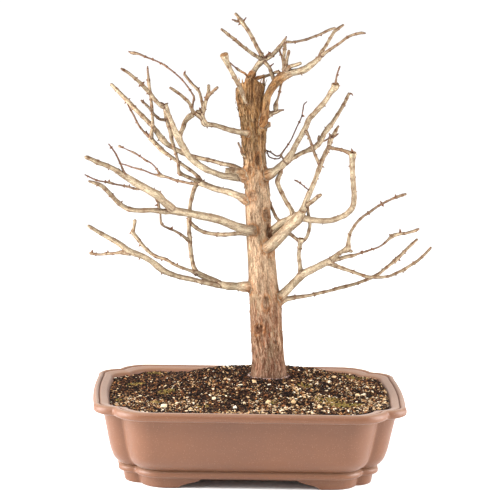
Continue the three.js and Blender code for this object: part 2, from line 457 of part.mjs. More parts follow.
    [-50, 454.2, 2.6], [-58, 455, 2.8], [-62.5, 455.8, 3.6], [-65, 459, 3.4], [-67, 464.5, 3.2],
    [-68, 470, 3.6], [-69, 473.5, 3]] },
  { name: 'left_high_knob', from: 'left_high', reach: -36, points: [[-67, 470.5, 2.6], [-74, 472, 1.8]] },
  { name: 'left_high_low', from: 'left_high', reach: -68, points: [
    [-67, 463, 2.6], [-73.8, 467.4, 2.2], [-78.3, 470.7, 2.2], [-80.9, 475, 1.9], [-82.5, 480.1, 1.8],
    [-85.3, 484.1, 2], [-89.4, 487.7, 1.8], [-94.4, 492.1, 1.8], [-99.4, 495.7, 1.7], [-104, 498.8, 1.7],
    [-108.8, 501.8, 1.4]] },
  { name: 'left_high_arch', from: 'left_high_low', reach: 25, points: [
    [-77.5, 470, 1.7], [-79.8, 475.6, 1.4], [-79.4, 480.2, 1.3], [-78.3, 485.6, 1.3], [-78, 490.2, 1.3],
    [-80, 494, 1.1], [-86.5, 503.6, 1], [-94.8, 513.4, 0.9], [-100.2, 518.2, 0.9], [-105.7, 522.7, 0.9],
    [-111.2, 526.6, 1.1], [-114.9, 529.4, 1.3], [-120.4, 532.6, 1], [-130, 536.8, 1], [-138.5, 539.8, 1.1],
    [-149.9, 544.3, 1.4], [-155.5, 545.2, 1.9], [-159, 545.6, 1.6], [-162.5, 547.2, 0.8]] },
  { name: 'left_high_top', from: 'left_high', reach: -5, points: [
    [-67.5, 467, 2.3], [-66, 475, 1.9], [-66.7, 480.3, 1.8], [-68, 485.7, 1.7], [-69.6, 492, 1.6],
    [-71.5, 497.4, 1.6], [-74.7, 501.5, 1.8], [-79.2, 505.5, 1.6], [-83.8, 510.7, 1.6],
    [-87.5, 515.2, 1.6], [-91, 519.3, 1.5]] },
  { name: 'left_high_inner', from: 'left_high', reach: -45, points: [
    [-67, 469, 2.8], [-64.7, 476.7, 2.4], [-63.4, 482.2, 2.1], [-61.7, 488.6, 2.1], [-59.9, 494, 2.1],
    [-59.2, 499.5, 1.9], [-59.3, 505.6, 1.8]] },
  { name: 'left_high_fork', from: 'left_high_inner', reach: -58, points: [
    [-62, 487.5, 2], [-59, 492.3, 1.8], [-54, 497.5, 1.8], [-51.2, 500.2, 1.7], [-47.8, 503.2, 1.5]] },
  { name: 'left_side_stub', from: 'trunk', start: -8, reach: -14, points: [
    [-9, 409, 1.9], [-14, 417, 1.4], [-16.2, 424, 1.2], [-19.8, 432, 1.3]] },
  // The cut stub on the left and the two long limbs that leave it.
  { name: 'left_block', from: 'trunk', start: 1, reach: 5, points: [
    [2, 389, 7.6], [-12, 390.4, 7.4], [-22, 391.3, 7.2], [-31, 392, 6.9], [-35, 392.3, 6.2]] },
  { name: 'left_long', from: 'left_block', reach: 88, points: [
    [-14, 394, 3.8], [-22, 399.5, 3.1], [-30, 402.7, 2.6], [-40, 404.6, 2.4], [-50, 407.2, 2.3],
    [-60, 409.5, 2.4], [-70, 411.4, 2.5], [-80, 413.6, 2.7], [-90, 417.3, 2.9], [-96, 420, 2.7],
    [-106.3, 425.4, 2.6], [-111.8, 429, 3], [-116.4, 433.5, 3.6], [-121, 438.8, 3.5], [-125.5, 445, 3],
    [-129.2, 450, 2.7], [-139.3, 460.2, 2.6], [-149.9, 470.4, 2.6], [-155.8, 476.1, 2.7],
    [-161.3, 481.9, 3], [-165.9, 486.4, 2.5], [-175.5, 496, 2.3], [-184.3, 504.6, 1.9]] },
  { name: 'left_rise', from: 'left_block', reach: -48, points: [
    [-12, 387, 4], [-20, 386.3, 3.7], [-30, 387.6, 3.6], [-40, 389.2, 3.5], [-50, 392.7, 3.3],
    [-60, 396.6, 3.4], [-65, 399.4, 3.6], [-70, 402.6, 3.7], [-75, 406.2, 3.7], [-80, 410, 3.7],
    [-84.5, 415.2, 3.7], [-88.2, 421, 3.8], [-91, 426, 3.7], [-94, 430.6, 3.7], [-95.8, 435, 4],
    [-98, 440, 4.4], [-101, 444.5, 3.6], [-104.2, 452.5, 2.9], [-107.9, 461.5, 2.6], [-111.5, 469.6, 2.8],
    [-113.8, 475, 3.4], [-116, 479.5, 3.9]] },
  { name: 'left_rise_side', from: 'left_rise', reach: -8, points: [
    [-96.5, 437, 3.1], [-94.2, 443.5, 2.6], [-91.4, 450.1, 2.5], [-89.5, 456.5, 2.6], [-86.8, 461.1, 2.9],
    [-83.2, 464.8, 3.4], [-79.5, 467.3, 3.6]] },
  { name: 'left_rise_tip', from: 'left_rise', reach: -78, points: [
    [-114, 476, 3], [-120, 478.5, 2.4], [-125.5, 483, 2.2], [-130.1, 488.2, 2.2], [-133.3, 492.7, 2.3],
    [-142, 501.7, 2.3], [-145.7, 505.6, 2.2], [-150.3, 509.7, 1.9], [-156.6, 515, 1.8],
    [-162.1, 519.4, 1.7], [-167.6, 522.8, 1.6], [-171.8, 524.9, 1.3]] },
  // The middle left.
  { name: 'left_mid', from: 'trunk', start: -8, reach: 20, points: [
    [2, 353, 5.8], [-9, 358.5, 5], [-15, 361.4, 4.4], [-20, 363.5, 4.1], [-30, 367.4, 3.9],
    [-40, 369.8, 3.6], [-50, 372.3, 3.5], [-60, 376, 3.4], [-66.2, 378.6, 4], [-69.5, 380.5, 3.9]] },
  { name: 'left_mid_high', from: 'left_mid', reach: 42, points: [
    [-66.5, 378.5, 3], [-69.3, 384.5, 2.4], [-72.8, 388.8, 2.1], [-76.4, 392.2, 2], [-85.5, 398.4, 2],
    [-94.5, 404.3, 2], [-104.5, 411.3, 2], [-110, 414.9, 2.1], [-115.4, 418.6, 2.5], [-120.5, 423.4, 2.8],
    [-125.3, 428, 2.6], [-129.5, 432.3, 2.5], [-133.6, 437, 3.6]] },
  { name: 'left_mid_tall', from: 'left_mid_high', reach: 30, points: [
    [-132.5, 436, 2.8], [-131.6, 443.5, 2.1], [-130.3, 452.2, 1.9], [-130.7, 461.1, 1.8],
    [-131.3, 470.1, 1.8], [-132.9, 485.5, 1.7], [-134.8, 498.9, 1.8], [-136.3, 507, 2],
    [-136.8, 514.2, 1.6], [-137.6, 521.5, 1.2], [-138.1, 528.5, 0.9]] },
  { name: 'left_mid_whip', from: 'left_mid_high', reach: 58, points: [
    [-133, 437, 2.3], [-137.5, 440.3, 1.7], [-141, 443.5, 1.4], [-145.6, 448.6, 1.3], [-149.3, 453.9, 1.2],
    [-155.2, 465.6, 1.1], [-158.5, 470.9, 1.1], [-163, 479.5, 0.8]] },
  { name: 'left_mid_snag', from: 'left_mid_high', reach: 46, points: [
    [-134.5, 437.5, 1.7], [-137.5, 442.3, 1], [-138.7, 445.2, 0.8]] },
  { name: 'left_mid_rise', from: 'left_mid', reach: -8, points: [
    [-67, 379.5, 2.9], [-74.2, 382.3, 2.3], [-79.7, 384.6, 2.2], [-89.6, 388.7, 2.1], [-94.2, 391, 2.6],
    [-96, 395.6, 1.9], [-96.5, 401.1, 1.7], [-97.1, 406.6, 1.6], [-98.9, 413, 1.5], [-101.4, 420.5, 1.6],
    [-103.6, 428, 1.8], [-105.7, 434.8, 2.2], [-107, 443.4, 2.4], [-109.8, 452.4, 2.4], [-113, 461.2, 2.1],
    [-114.5, 468, 1.9], [-115.3, 474, 1.7]] },
  { name: 'left_mid_twig', from: 'left_mid_rise', reach: -32, points: [
    [-112, 460, 2], [-117, 460.2, 1.7], [-121, 460.6, 1.6], [-125.6, 463.9, 1.6], [-130.2, 468.4, 1.6],
    [-133.9, 473.7, 1.6], [-138.4, 478.2, 1.6], [-145.5, 484.5, 1.3]] },
  { name: 'left_mid_flat', from: 'left_mid', reach: 82, points: [
    [-67.5, 379, 2.4], [-74, 378.2, 1.9], [-79.7, 378, 1.7], [-89.3, 379.9, 1.5], [-100, 381.9, 1.6],
    [-110, 385.5, 1.5], [-115, 386.7, 1.9], [-119, 387.6, 2.4], [-124, 388.5, 1.5], [-129.2, 389.5, 1],
    [-140, 393.7, 1], [-148.5, 396, 1.3], [-155.5, 397.7, 0.9], [-162, 400, 0.9], [-170.5, 402.3, 0.75]] },
  { name: 'left_mid_beads', from: 'left_mid_flat', reach: 98, points: [
    [-118.5, 387.5, 2], [-121.5, 391.5, 1.5], [-123.8, 395.2, 1.1], [-127.5, 399.8, 0.85],
    [-132, 403.8, 0.85], [-139.2, 407.4, 1.3], [-145.5, 412, 0.8], [-154, 416.8, 1.4], [-161, 419.8, 0.75],
    [-168, 423, 0.8], [-173.3, 425, 1.8]] },
  // The limb that leaves the front of the trunk for the left.
  { name: 'left_front', from: 'trunk', start: -13, reach: -64, points: [
    [5, 318, 4.8], [-3, 318.5, 4.9], [-10, 320, 4.9], [-20, 322.8, 4.9], [-30, 326.6, 4.8],
    [-40, 330.3, 4.7], [-50, 333.2, 4.7], [-60, 334.9, 4.6], [-70, 336.7, 4.4], [-80, 338.8, 4.3],
    [-90, 340.4, 4.3], [-98, 341.7, 4.4], [-104, 344, 5], [-108.5, 348, 4.6]] },
  { name: 'left_front_high', from: 'left_front', reach: -122, points: [
    [-104, 344.5, 4.5], [-110, 350, 4.2], [-115, 354.3, 4.2], [-119.5, 359, 4.6], [-124, 363, 4.9],
    [-130, 366, 4.4], [-140, 371.4, 4.3], [-150, 376.9, 4.3], [-155, 380, 4.1], [-165, 386, 3.6],
    [-170, 389.1, 3.3], [-175, 392.5, 3], [-180, 395.4, 2.8], [-190, 399.9, 2.6], [-200, 403.3, 2.6],
    [-210, 407.8, 2.3], [-216, 410, 2]] },
  { name: 'left_front_whip', from: 'left_front_high', reach: -135, points: [
    [-164, 386.5, 1.8], [-167.8, 394, 1.3], [-169.8, 399, 1.2], [-177.8, 415.5, 1], [-182.5, 422.3, 0.9],
    [-186.7, 427.5, 0.75]] },
  { name: 'left_front_under', from: 'left_front_high', reach: -70, points: [
    [-142, 371.2, 1.9], [-150, 369.7, 1.5], [-155, 370.6, 1.3], [-159.8, 372, 1.3], [-168.5, 373.9, 1.2],
    [-179.3, 375.8, 1.1], [-185, 377.4, 1.7], [-190, 378.2, 1], [-200, 379.8, 1], [-206, 381.9, 0.9],
    [-211.5, 384.5, 0.8], [-217, 387.2, 0.75]] },
  { name: 'left_front_low', from: 'left_front', reach: -84, points: [
    [-98, 341.6, 3.8], [-107, 341.2, 3.2], [-115, 341, 3.1], [-122, 341.8, 3], [-130, 342.4, 2.9],
    [-140, 341.8, 2.8], [-150, 341.8, 2.7], [-160, 343.3, 2.7], [-165, 345.5, 2.7], [-170, 348.8, 2.6],
    [-175, 353, 2.6], [-180, 358.2, 2.5], [-185, 363.3, 2.5], [-190, 368.6, 2.5], [-195, 373, 2.4],
    [-200, 375.2, 2.1], [-211.5, 378.9, 1.5]] },
  { name: 'left_front_snag', from: 'left_front_low', meets: 'left_front_high', points: [
    [-120.8, 342, 2], [-121, 348, 1.7], [-122, 353, 1.6], [-125, 359.5, 1.9], [-126, 364, 1.9]] },
  // The lower left, and the upright limb that rises from it behind the others.
  { name: 'left_low', from: 'trunk', start: -6, reach: -2, points: [
    [10, 240, 6], [-3, 243.5, 5.5], [-10, 243.8, 5.3], [-20, 244, 4.8], [-30, 244.6, 4.6],
    [-38, 245.8, 4.4], [-43, 247.2, 4]] },
  { name: 'left_low_high', from: 'left_low', reach: 34, points: [
    [-38, 246.2, 3.5], [-44, 249.5, 3.4], [-50, 252, 3.4], [-55, 254, 3.6], [-60, 255.9, 3.7],
    [-65, 258.3, 3.6], [-70, 260.8, 3.4], [-75, 262.6, 2.3], [-85, 265.8, 1.8], [-90, 267.5, 1.9],
    [-100, 271.7, 1.8], [-110, 277.8, 1.9], [-115, 279.4, 2], [-120, 280.5, 1.9], [-125, 282.5, 2.2],
    [-130, 285.5, 2.2], [-135, 290, 2.2], [-144.6, 300.3, 2.2], [-148.5, 305.5, 2.3], [-152.4, 310.2, 2.5],
    [-154.3, 313.2, 2.7], [-153.2, 317.3, 2], [-152, 323.5, 1.9], [-151.7, 328.5, 2.3]] },
  { name: 'left_low_long', from: 'left_low', reach: -46, points: [
    [-37, 244.8, 3.4], [-44, 245, 2.9], [-50, 246.5, 2.9], [-60, 248.3, 2.9], [-70, 250.8, 2.8],
    [-80, 253, 3], [-90, 254.8, 3], [-100, 257.7, 3.1], [-110, 261.4, 3.4], [-115, 264, 3.8],
    [-120, 267.9, 4], [-125, 271.8, 3.6], [-130, 275.7, 3.3], [-140, 281.2, 3.3], [-150, 284.9, 3.5],
    [-155, 286.6, 3.8], [-162, 290.4, 3.8], [-170, 296.7, 3.2], [-180, 302.6, 2.9], [-190, 308, 2.6],
    [-200, 313.5, 2.3], [-211.8, 320.6, 1.8]] },
  { name: 'left_low_side', from: 'left_low_long', reach: -12, points: [
    [-157, 286, 3.3], [-163, 286, 3], [-168, 286.5, 2.6], [-173, 285.7, 1.9], [-180, 284.8, 1.6],
    [-187, 284.6, 1.9], [-195, 283.2, 1.5], [-205, 283.9, 1.7], [-208.8, 284.8, 2]] },
  { name: 'left_upright', from: 'left_low_high', meets: 'left_mid', points: [
    [-69, 258.5, 3.4], [-72.5, 264, 3], [-75.2, 271.3, 2.5], [-76.6, 278, 2.4], [-78.1, 285.5, 2.4],
    [-79.7, 300, 2.5], [-80.3, 307.5, 2.7], [-81.2, 314, 2.3], [-81.5, 320.2, 2.3], [-81.6, 327, 2.7],
    [-81, 332, 2.5], [-80.9, 339, 2.1], [-80.3, 351.3, 2.2], [-78.6, 359.3, 2.3], [-76.6, 368, 2.4],
    [-74, 374.5, 2.4], [-69, 380, 2.2]] },
  { name: 'left_upright_twig', from: 'left_upright', reach: -20, points: [
    [-79.6, 301.5, 2.3], [-84.5, 305.5, 2], [-89.8, 309.8, 1.7], [-100, 315.8, 1.5], [-105, 317.8, 1.5],
    [-110, 319.9, 1.4], [-115, 322.5, 1.4], [-117.6, 326.2, 1.6], [-118.3, 330.5, 1.4],
    [-119, 341, 1.2]] },
  { name: 'left_loop', from: 'trunk', start: -12, meets: 'left_upright', points: [
    [-2, 313, 3.2], [-14, 314, 2.6], [-20, 313.6, 2.4], [-30, 312.3, 2.4], [-40, 311.9, 2.4],
    [-50, 312.5, 2.3], [-60, 314.4, 2.3], [-65, 316, 2.2], [-70, 318.7, 2.1], [-74.6, 322.2, 2.2],
    [-81.5, 328, 2.3]] },
];

// Buds and short snags: [limb, x, z] of each tip, as it shows from the front.
const BUDS = [
  ['peak_left', -22.9, 583.4], ['peak_left', -5.6, 563.6], ['peak_right', 24.6, 553],
  ['leader', 43, 515.5], ['leader', 60.5, 520.5], ['crown_arch', 84, 571.6], ['right_stub', 19.2, 475],
  ['right_riser', 24.4, 481.6], ['right_high_left', 99, 510.6], ['right_high_left', 109.8, 508],
  ['right_high_left', 91.8, 481.2], ['right_high_right', 91, 454.6], ['right_whip', 65, 468],
  ['right_whip', 43.6, 427.6], ['right_fork', 92, 402.2], ['right_fork', 85.4, 386.6],
  ['right_fork', 98.6, 421.4], ['right_fork', 102.6, 434], ['right_fork_link', 67, 443.8],
  ['right_bow', 111, 340], ['right_bow', 92, 327.4], ['right_bow', 135.6, 371],
  ['right_bow', 123.6, 404], ['right_bow', 134, 419.6], ['right_bow', 126.4, 427],
  ['right_low', 102, 285.8], ['right_low_high', 185, 368.4], ['right_low_high', 170.4, 352.2],
  ['right_low_high', 166, 359.4], ['right_low_high', 129.6, 313.4], ['right_low_mid', 144, 293.8],
  ['right_low_mid', 156.4, 297.6], ['right_low_mid', 178.6, 316.2], ['right_low_mid', 192.6, 323.6],
  ['right_low_drop', 210.8, 280.4], ['right_low_drop', 199, 265.6], ['right_low_drop', 151, 256.4],
  ['right_lowest', 58, 234.8], ['right_lowest', 110, 245.6], ['right_lowest', 187.6, 286.4],
  ['right_lowest', 194.6, 280.8], ['right_lowest', 170.4, 270.6], ['left_high', -71, 476.6],
  ['left_high', -60.4, 450], ['left_high_low', -85.4, 487.6], ['left_high_arch', -116.6, 532],
  ['left_high_top', -70.8, 502.6], ['left_high_top', -89.6, 523.8], ['left_high_inner', -65.4, 490.4],
  ['left_long', -160, 487.2], ['left_long', -167, 480.2], ['left_long', -114.6, 439],
  ['left_long', -124, 432.6], ['left_rise', -121, 483], ['left_rise', -110.6, 482],
  ['left_rise_tip', -149, 502.2], ['left_rise_tip', -141.8, 508.6], ['left_rise_tip', -139, 492.8],
  ['left_mid', -62.6, 383.6], ['left_mid', -38, 374.6], ['left_mid_rise', -98, 391],
  ['left_mid_high', -107.4, 407.8], ['left_front_high', -187, 393.6], ['left_front_high', -118.4, 368],
  ['left_front_high', -126.6, 371.8], ['left_front_under', -185.4, 381],
  ['left_front_under', -159.4, 375.2], ['left_front_low', -167.8, 354],
  ['left_front_snag', -126.2, 348.6], ['left_low', -16, 237], ['left_low_high', -95, 274],
  ['left_low_high', -146.4, 294.6], ['left_low_high', -116.4, 276], ['left_low_high', -158.4, 311.6],
  ['left_low_long', -146, 276.6], ['left_low_long', -117, 257.6], ['left_low_side', -186.2, 288.8],
  ['left_low_side', -206.2, 289], ['left_upright', -76.6, 308], ['left_upright', -85.4, 332.6],
  ['left_upright_twig', -103, 321.4],
];
const SWAY = 0.045;
const SWAY_TURNS = 1.3;
const GOLDEN_SHARE = 0.618;
// Limbs are this much thicker than their table says, because bark is rough.
const LIMB_SWELL = 1.12;
const BUD_ROOT_RADIUS = 1.5;
const STRAIGHT_TOLERANCE = 0.45;
const SWELL_TOLERANCE = 0.3;
const BUD_TIP_RADIUS = 0.75;

// Moves a drawn point along the line of sight to its depth.
function atDepth(x, z, depth) {
  const drawn = new THREE.Vector3(x, 0, z);
  return VIEWPOINT.clone().lerp(drawn, (depth - VIEWPOINT.y) / -VIEWPOINT.y);
}

// The depth of the place on a limb that shows nearest to the drawn point.
function depthOn(limb, x, z) {
  let best = { gap: Infinity, depth: 0, x: 0, z: 0 };
  for (let i = 1; i < limb.points.length; i += 1) {
    const [ax, az] = limb.points[i - 1];
    const [bx, bz] = limb.points[i];
    const length = (bx - ax) ** 2 + (bz - az) ** 2;
    const t = Math.min(Math.max(((x - ax) * (bx - ax) + (z - az) * (bz - az)) / length, 0), 1);
    const [nearX, nearZ] = [ax + (bx - ax) * t, az + (bz - az) * t];
    const gap = Math.hypot(x - nearX, z - nearZ);
    const depth = limb.depths[i - 1] + (limb.depths[i] - limb.depths[i - 1]) * t;
    if (gap < best.gap) best = { gap, depth, x: nearX, z: nearZ };
  }
  return best;
}

// The trunk's middle at a height.
function trunkMiddle(z) {
  return between(TRUNK_EDGES.map(([height, left, right]) => [height, (left + right) / 2]), z);
}

// Works out the depth of every point of each limb, from what it grows out of and reaches.
// Each limb also sways a little to the front and back on its way, as grown wood does.
// A limb of the trunk starts in the trunk's middle.
function settleLimbs(limbs) {
  const settled = new Map();
  for (const [order, { name, from, meets, start, reach, bow = 0, points }] of limbs.entries()) {
    const first = points[0];
    const last = points[points.length - 1];
    const lengths = [0];
    for (let i = 1; i < points.length; i += 1) {
      const [[ax, az], [bx, bz]] = [points[i - 1], points[i]];
      lengths.push(lengths[i - 1] + Math.hypot(bx - ax, bz - az));
    }
    const rootDepth = settled.has(from) ? depthOn(settled.get(from), first[0], first[1]).depth : start;
    const tipDepth = meets ? depthOn(settled.get(meets), last[0], last[1]).depth : reach;
    const depths = lengths.map((length) => {
      const t = length / lengths[lengths.length - 1];
      const turn = Math.sin(2 * Math.PI * (SWAY_TURNS * t + order * GOLDEN_SHARE));
      const sway = SWAY * lengths[lengths.length - 1] * turn;
      return rootDepth + (tipDepth - rootDepth) * t + (bow + sway) * Math.sin(Math.PI * t);
    });
    const grown = points.map(([x, z, radius]) => [x, z, radius * LIMB_SWELL]);
    if (from === 'trunk') {
      grown[0][0] = trunkMiddle(first[1]);
      depths[0] = 0;
    }
    settled.set(name, { points: grown, depths, heartwood: from === 'trunk' });
  }
  return settled;
}

// A closed tube with few sides, through points with a radius at each.
function tubeSolid(centres, radii, sides) {
  const steps = centres.length - 1;
  const geometry = new THREE.CylinderGeometry(1, 1, 1, sides, steps);
  const frames = [];
  let across = new THREE.Vector3(0, 1, 0);
  for (let i = 0; i <= steps; i += 1) {
    const along = centres[Math.min(i + 1, steps)].clone().sub(centres[Math.max(i - 1, 0)]).normalize();
    across = across.clone().addScaledVector(along, -across.dot(along)).normalize();
    frames.push([across, along.clone().cross(across)]);
  }
  const place = geometry.getAttribute('position');
  const point = new THREE.Vector3();
  for (let i = 0; i < place.count; i += 1) {
    const ring = Math.round((0.5 - place.getY(i)) * steps);
    point.copy(centres[ring]);
    point.addScaledVector(frames[ring][0], place.getX(i) * radii[ring]);
    point.addScaledVector(frames[ring][1], place.getZ(i) * radii[ring]);
    place.setXYZ(i, point.x, point.y, point.z);
  }
  return solid(geometry);
}

// True where the points between two of a limb lie on the straight line between them.
function isStraight(points, first, last) {
  const span = points[last][0] - points[first][0];
  const rise = points[last][1] - points[first][1];
  const length = Math.hypot(span, rise);
  for (let i = first + 1; i < last; i += 1) {
    const [x, z] = [points[i][0] - points[first][0], points[i][1] - points[first][1]];
    const t = (x * span + z * rise) / length ** 2;
    const off = Math.abs(x * rise - z * span) / length;
    const swell = points[first][2] + (points[last][2] - points[first][2]) * t - points[i][2];
    if (off > STRAIGHT_TOLERANCE || Math.abs(swell) > SWELL_TOLERANCE) return false;
  }
  return true;
}

// The limb without the points that lie on a straight and even run.
function thinned({ points, depths, heartwood }) {
  const kept = heartwood ? [0, 1] : [0];
  for (let i = kept.length; i < points.length - 1; i += 1) {
    if (!isStraight(points, kept[kept.length - 1], i + 1)) kept.push(i);
  }
  kept.push(points.length - 1);
  return { points: kept.map((i) => points[i]), depths: kept.map((i) => depths[i]) };
}

function sidesFor(radius) {
  if (radius < 1.5) return 4;
  if (radius < 2.8) return 5;
  return radius < 4.6 ? 6 : 8;
}

function limbSolid({ points, depths }) {
  const centres = points.map(([x, z], i) => atDepth(x, z, depths[i]));
  const radii = points.map(([, , radius]) => radius);
  const middle = radii.reduce((sum, radius) => sum + radius, 0) / radii.length;
  return tubeSolid(centres, radii, sidesFor(middle));
}

function budSolid(limb, x, z) {
  const root = depthOn(limb, x, z);
  const centres = [atDepth(root.x, root.z, root.depth), atDepth(x, z, root.depth)];
  return tubeSolid(centres, [BUD_ROOT_RADIUS, BUD_TIP_RADIUS], 4);
}

function makeTree() {
  const limbs = settleLimbs(LIMBS);
  const pieces = [trunkSolid()];
  for (const limb of limbs.values()) pieces.push(limbSolid(thinned(limb)));
  for (const [name, x, z] of BUDS) pieces.push(budSolid(limbs.get(name), x, z));
  return geometryOf(wasm.Manifold.union(pieces));
}

// The soil's height: level with the rim at the walls, mounded round the trunk.
function soilHeight(x, y) {
  const away = Math.hypot((x - SOIL_MIDDLE[0]) / SOIL_REACH[0], (y - SOIL_MIDDLE[1]) / SOIL_REACH[1]);
  return SOIL_EDGE_HEIGHT + 0.008 * (x - y) + SOIL_MOUND * (1 - smoothStep(0.35, 0.95, away));
}

// The room inside the pot, a clearance away from its wall.
function potRoom() {
  const wall = [...POT_INSIDE].reverse().map(([inset, z, longer]) => [inset + CLEARANCE, z, longer]);
  const room = [[null, FLOOR_TOP + CLEARANCE], ...wall.slice(0, -1)];
  room[1] = [58 + CLEARANCE, FLOOR_TOP + CLEARANCE, 4];
  room.push([21, 102], [21, 150], [null, 150]);
  return solid(potShell(room));
}

function soilBlock(random) {
  const columns = Math.round(POT_LENGTH / SOIL_CELL);
  const rows = Math.round(POT_DEPTH / SOIL_CELL);
  const block = new THREE.BoxGeometry(POT_LENGTH, POT_DEPTH, 60, columns, rows, 1);
  const merged = closedMesh(block);
  const place = merged.getAttribute('position');
  for (let i = 0; i < place.count; i += 1) {
    const [x, y] = [place.getX(i), place.getY(i)];
    const top = soilHeight(x, y) + (random() - 0.5) * 2 * GRIT_RELIEF;
    place.setZ(i, place.getZ(i) > 0 ? top : FLOOR_TOP - 10);
  }
  return solid(merged);
}

// A stone of grit, half sunk in the soil.
function gritStone(random) {
  const angle = random() * 2 * Math.PI;
  const away = 0.3 + 0.68 * Math.sqrt(random());
  const x = away * (POT_LENGTH / 2 - 30) * Math.cos(angle);
  const y = away * (POT_DEPTH / 2 - 30) * Math.sin(angle);
  const stone = new THREE.OctahedronGeometry(2.6 + 2.2 * random());
  stone.rotateX(random() * 3);
  stone.rotateY(random() * 3);
  stone.scale(1.2, 1, 0.8);
  stone.translate(x, y, soilHeight(x, y) + 0.3);
  return solid(mergeVertices(stone));
}

// The hole that the trunk's foot stands in: the foot's own outline, a clearance wider.
function stumpHole() {
  const [foot, collar] = TRUNK_EDGES;
  const wide = (collar[2] - collar[1]) / 2 + CLEARANCE + 0.1;
  const narrow = wide * ((foot[2] - foot[1]) / (collar[2] - collar[1]));
  const hole = new THREE.CylinderGeometry(wide, narrow, STUMP_TOP - STUMP_BOTTOM + CLEARANCE, TRUNK_SIDES);
  hole.rotateX(Math.PI / 2);
  hole.scale(1, TRUNK_DEPTH_RATIO + 0.004, 1);
  hole.translate((collar[1] + collar[2]) / 2, 0, (STUMP_TOP + STUMP_BOTTOM - CLEARANCE) / 2);
  const mouth = new THREE.CylinderGeometry(wide, wide, 40, TRUNK_SIDES);
  mouth.rotateX(Math.PI / 2);
  mouth.scale(1, TRUNK_DEPTH_RATIO + 0.004, 1);
  mouth.translate((collar[1] + collar[2]) / 2, 0, STUMP_TOP + 19.9);
  return solid(hole).add(solid(mouth));
}

function makeSoil() {
  const random = seededRandom(11);
  let soil = soilBlock(random);
  const stones = [];
  for (let i = 0; i < GRIT_STONES; i += 1) stones.push(gritStone(random));
  soil = soil.add(wasm.Manifold.union(stones)).intersect(potRoom()).subtract(stumpHole());
  for (const side of [-1, 1]) {
    const height = SCREEN_THICKNESS + 3 * CLEARANCE;
    const width = SCREEN_SIDE + 2 * CLEARANCE;
    const middle = FLOOR_TOP + SCREEN_THICKNESS + 2 * CLEARANCE - height / 2;
    soil = soil.subtract(boxSolid(width, width, height, side * DRAIN_HOLE_PLACE, 0, middle));
  }
  return geometryOf(soil);
}

const stoneware = new THREE.MeshStandardMaterial({ color: 0xa8765f, roughness: 0.6, metalness: 0 });
const bark = new THREE.MeshStandardMaterial({ color: 0xb48f6a, roughness: 0.85, metalness: 0 });
const earth = new THREE.MeshStandardMaterial({ color: 0x4a3a33, roughness: 0.95, metalness: 0 });
const meshPlastic = new THREE.MeshStandardMaterial({ color: 0x24302a, roughness: 0.5, metalness: 0 });

function named(name, geometry, material) {
  const mesh = new THREE.Mesh(geometry, material);
  mesh.name = name;
  return mesh;
}

const bonsai = new THREE.Group();
bonsai.add(named('pot', makePot(), stoneware));
bonsai.add(named('drain_screen_left', makeDrainScreen(-1), meshPlastic));
bonsai.add(named('drain_screen_right', makeDrainScreen(1), meshPlastic));
bonsai.add(named('soil', makeSoil(), earth));
bonsai.add(named('tree', makeTree(), bark));

// The origin is the middle of the whole bonsai's box, on the surface that it stands on.
const box = new THREE.Box3().setFromObject(bonsai);
bonsai.position.set(-(box.min.x + box.max.x) / 2, -(box.min.y + box.max.y) / 2, -box.min.z);

export default bonsai;
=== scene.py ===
"""Dresses the dawn redwood bonsai: a bare winter tree, its soil and its stoneware pot.

Shapes are worked out in millimetres in the pot's own frame (its middle at x = y = 0 and its
feet on z = 0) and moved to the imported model's place when they are finished.
"""

import json
import logging
import math
from collections.abc import Callable, Iterable, Sequence
from dataclasses import dataclass, field
from enum import Enum
from functools import cache
from random import Random

import bmesh
import bpy
from mathutils import Matrix, Vector, noise

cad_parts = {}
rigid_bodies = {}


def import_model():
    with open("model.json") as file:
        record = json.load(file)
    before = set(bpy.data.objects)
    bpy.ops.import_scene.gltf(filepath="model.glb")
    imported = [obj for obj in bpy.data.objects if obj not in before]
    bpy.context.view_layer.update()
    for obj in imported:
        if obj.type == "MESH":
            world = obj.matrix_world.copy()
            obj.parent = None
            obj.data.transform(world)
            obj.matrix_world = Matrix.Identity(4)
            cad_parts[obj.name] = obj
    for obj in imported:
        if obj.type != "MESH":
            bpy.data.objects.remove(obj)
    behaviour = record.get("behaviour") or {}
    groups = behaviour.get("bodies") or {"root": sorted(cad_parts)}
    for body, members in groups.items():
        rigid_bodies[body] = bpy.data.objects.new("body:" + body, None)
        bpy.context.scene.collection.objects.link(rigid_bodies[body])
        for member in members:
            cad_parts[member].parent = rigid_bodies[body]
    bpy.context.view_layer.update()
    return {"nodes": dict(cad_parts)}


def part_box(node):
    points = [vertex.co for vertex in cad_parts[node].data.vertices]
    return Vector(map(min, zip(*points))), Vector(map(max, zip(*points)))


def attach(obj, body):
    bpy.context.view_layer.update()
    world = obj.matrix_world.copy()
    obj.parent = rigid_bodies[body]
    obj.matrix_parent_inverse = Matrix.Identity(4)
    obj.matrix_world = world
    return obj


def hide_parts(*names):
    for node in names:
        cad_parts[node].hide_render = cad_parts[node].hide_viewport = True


LOG = logging.getLogger("bonsai")
Colour = tuple[float, float, float, float]
Row = Sequence[float]
Shape = bmesh.types.BMesh
Piece = bpy.types.Object
Material = bpy.types.Material
Node = bpy.types.Node
Socket = bpy.types.NodeSocket

# The viewpoint of the photograph, in the pot's frame.
EYE = Vector((-98, -3080, 777))
EYE_YAW = 1.79
EYE_PITCH = 8.94
EYE_ROLL = 1.20
EYE_LENS = 172.8
EYE_REACH = 200
FILM = 36.0

POT_LENGTH = 406.0
POT_DEPTH = 308.0
RIM_TOP = 107.8
END_BOW = 4.0
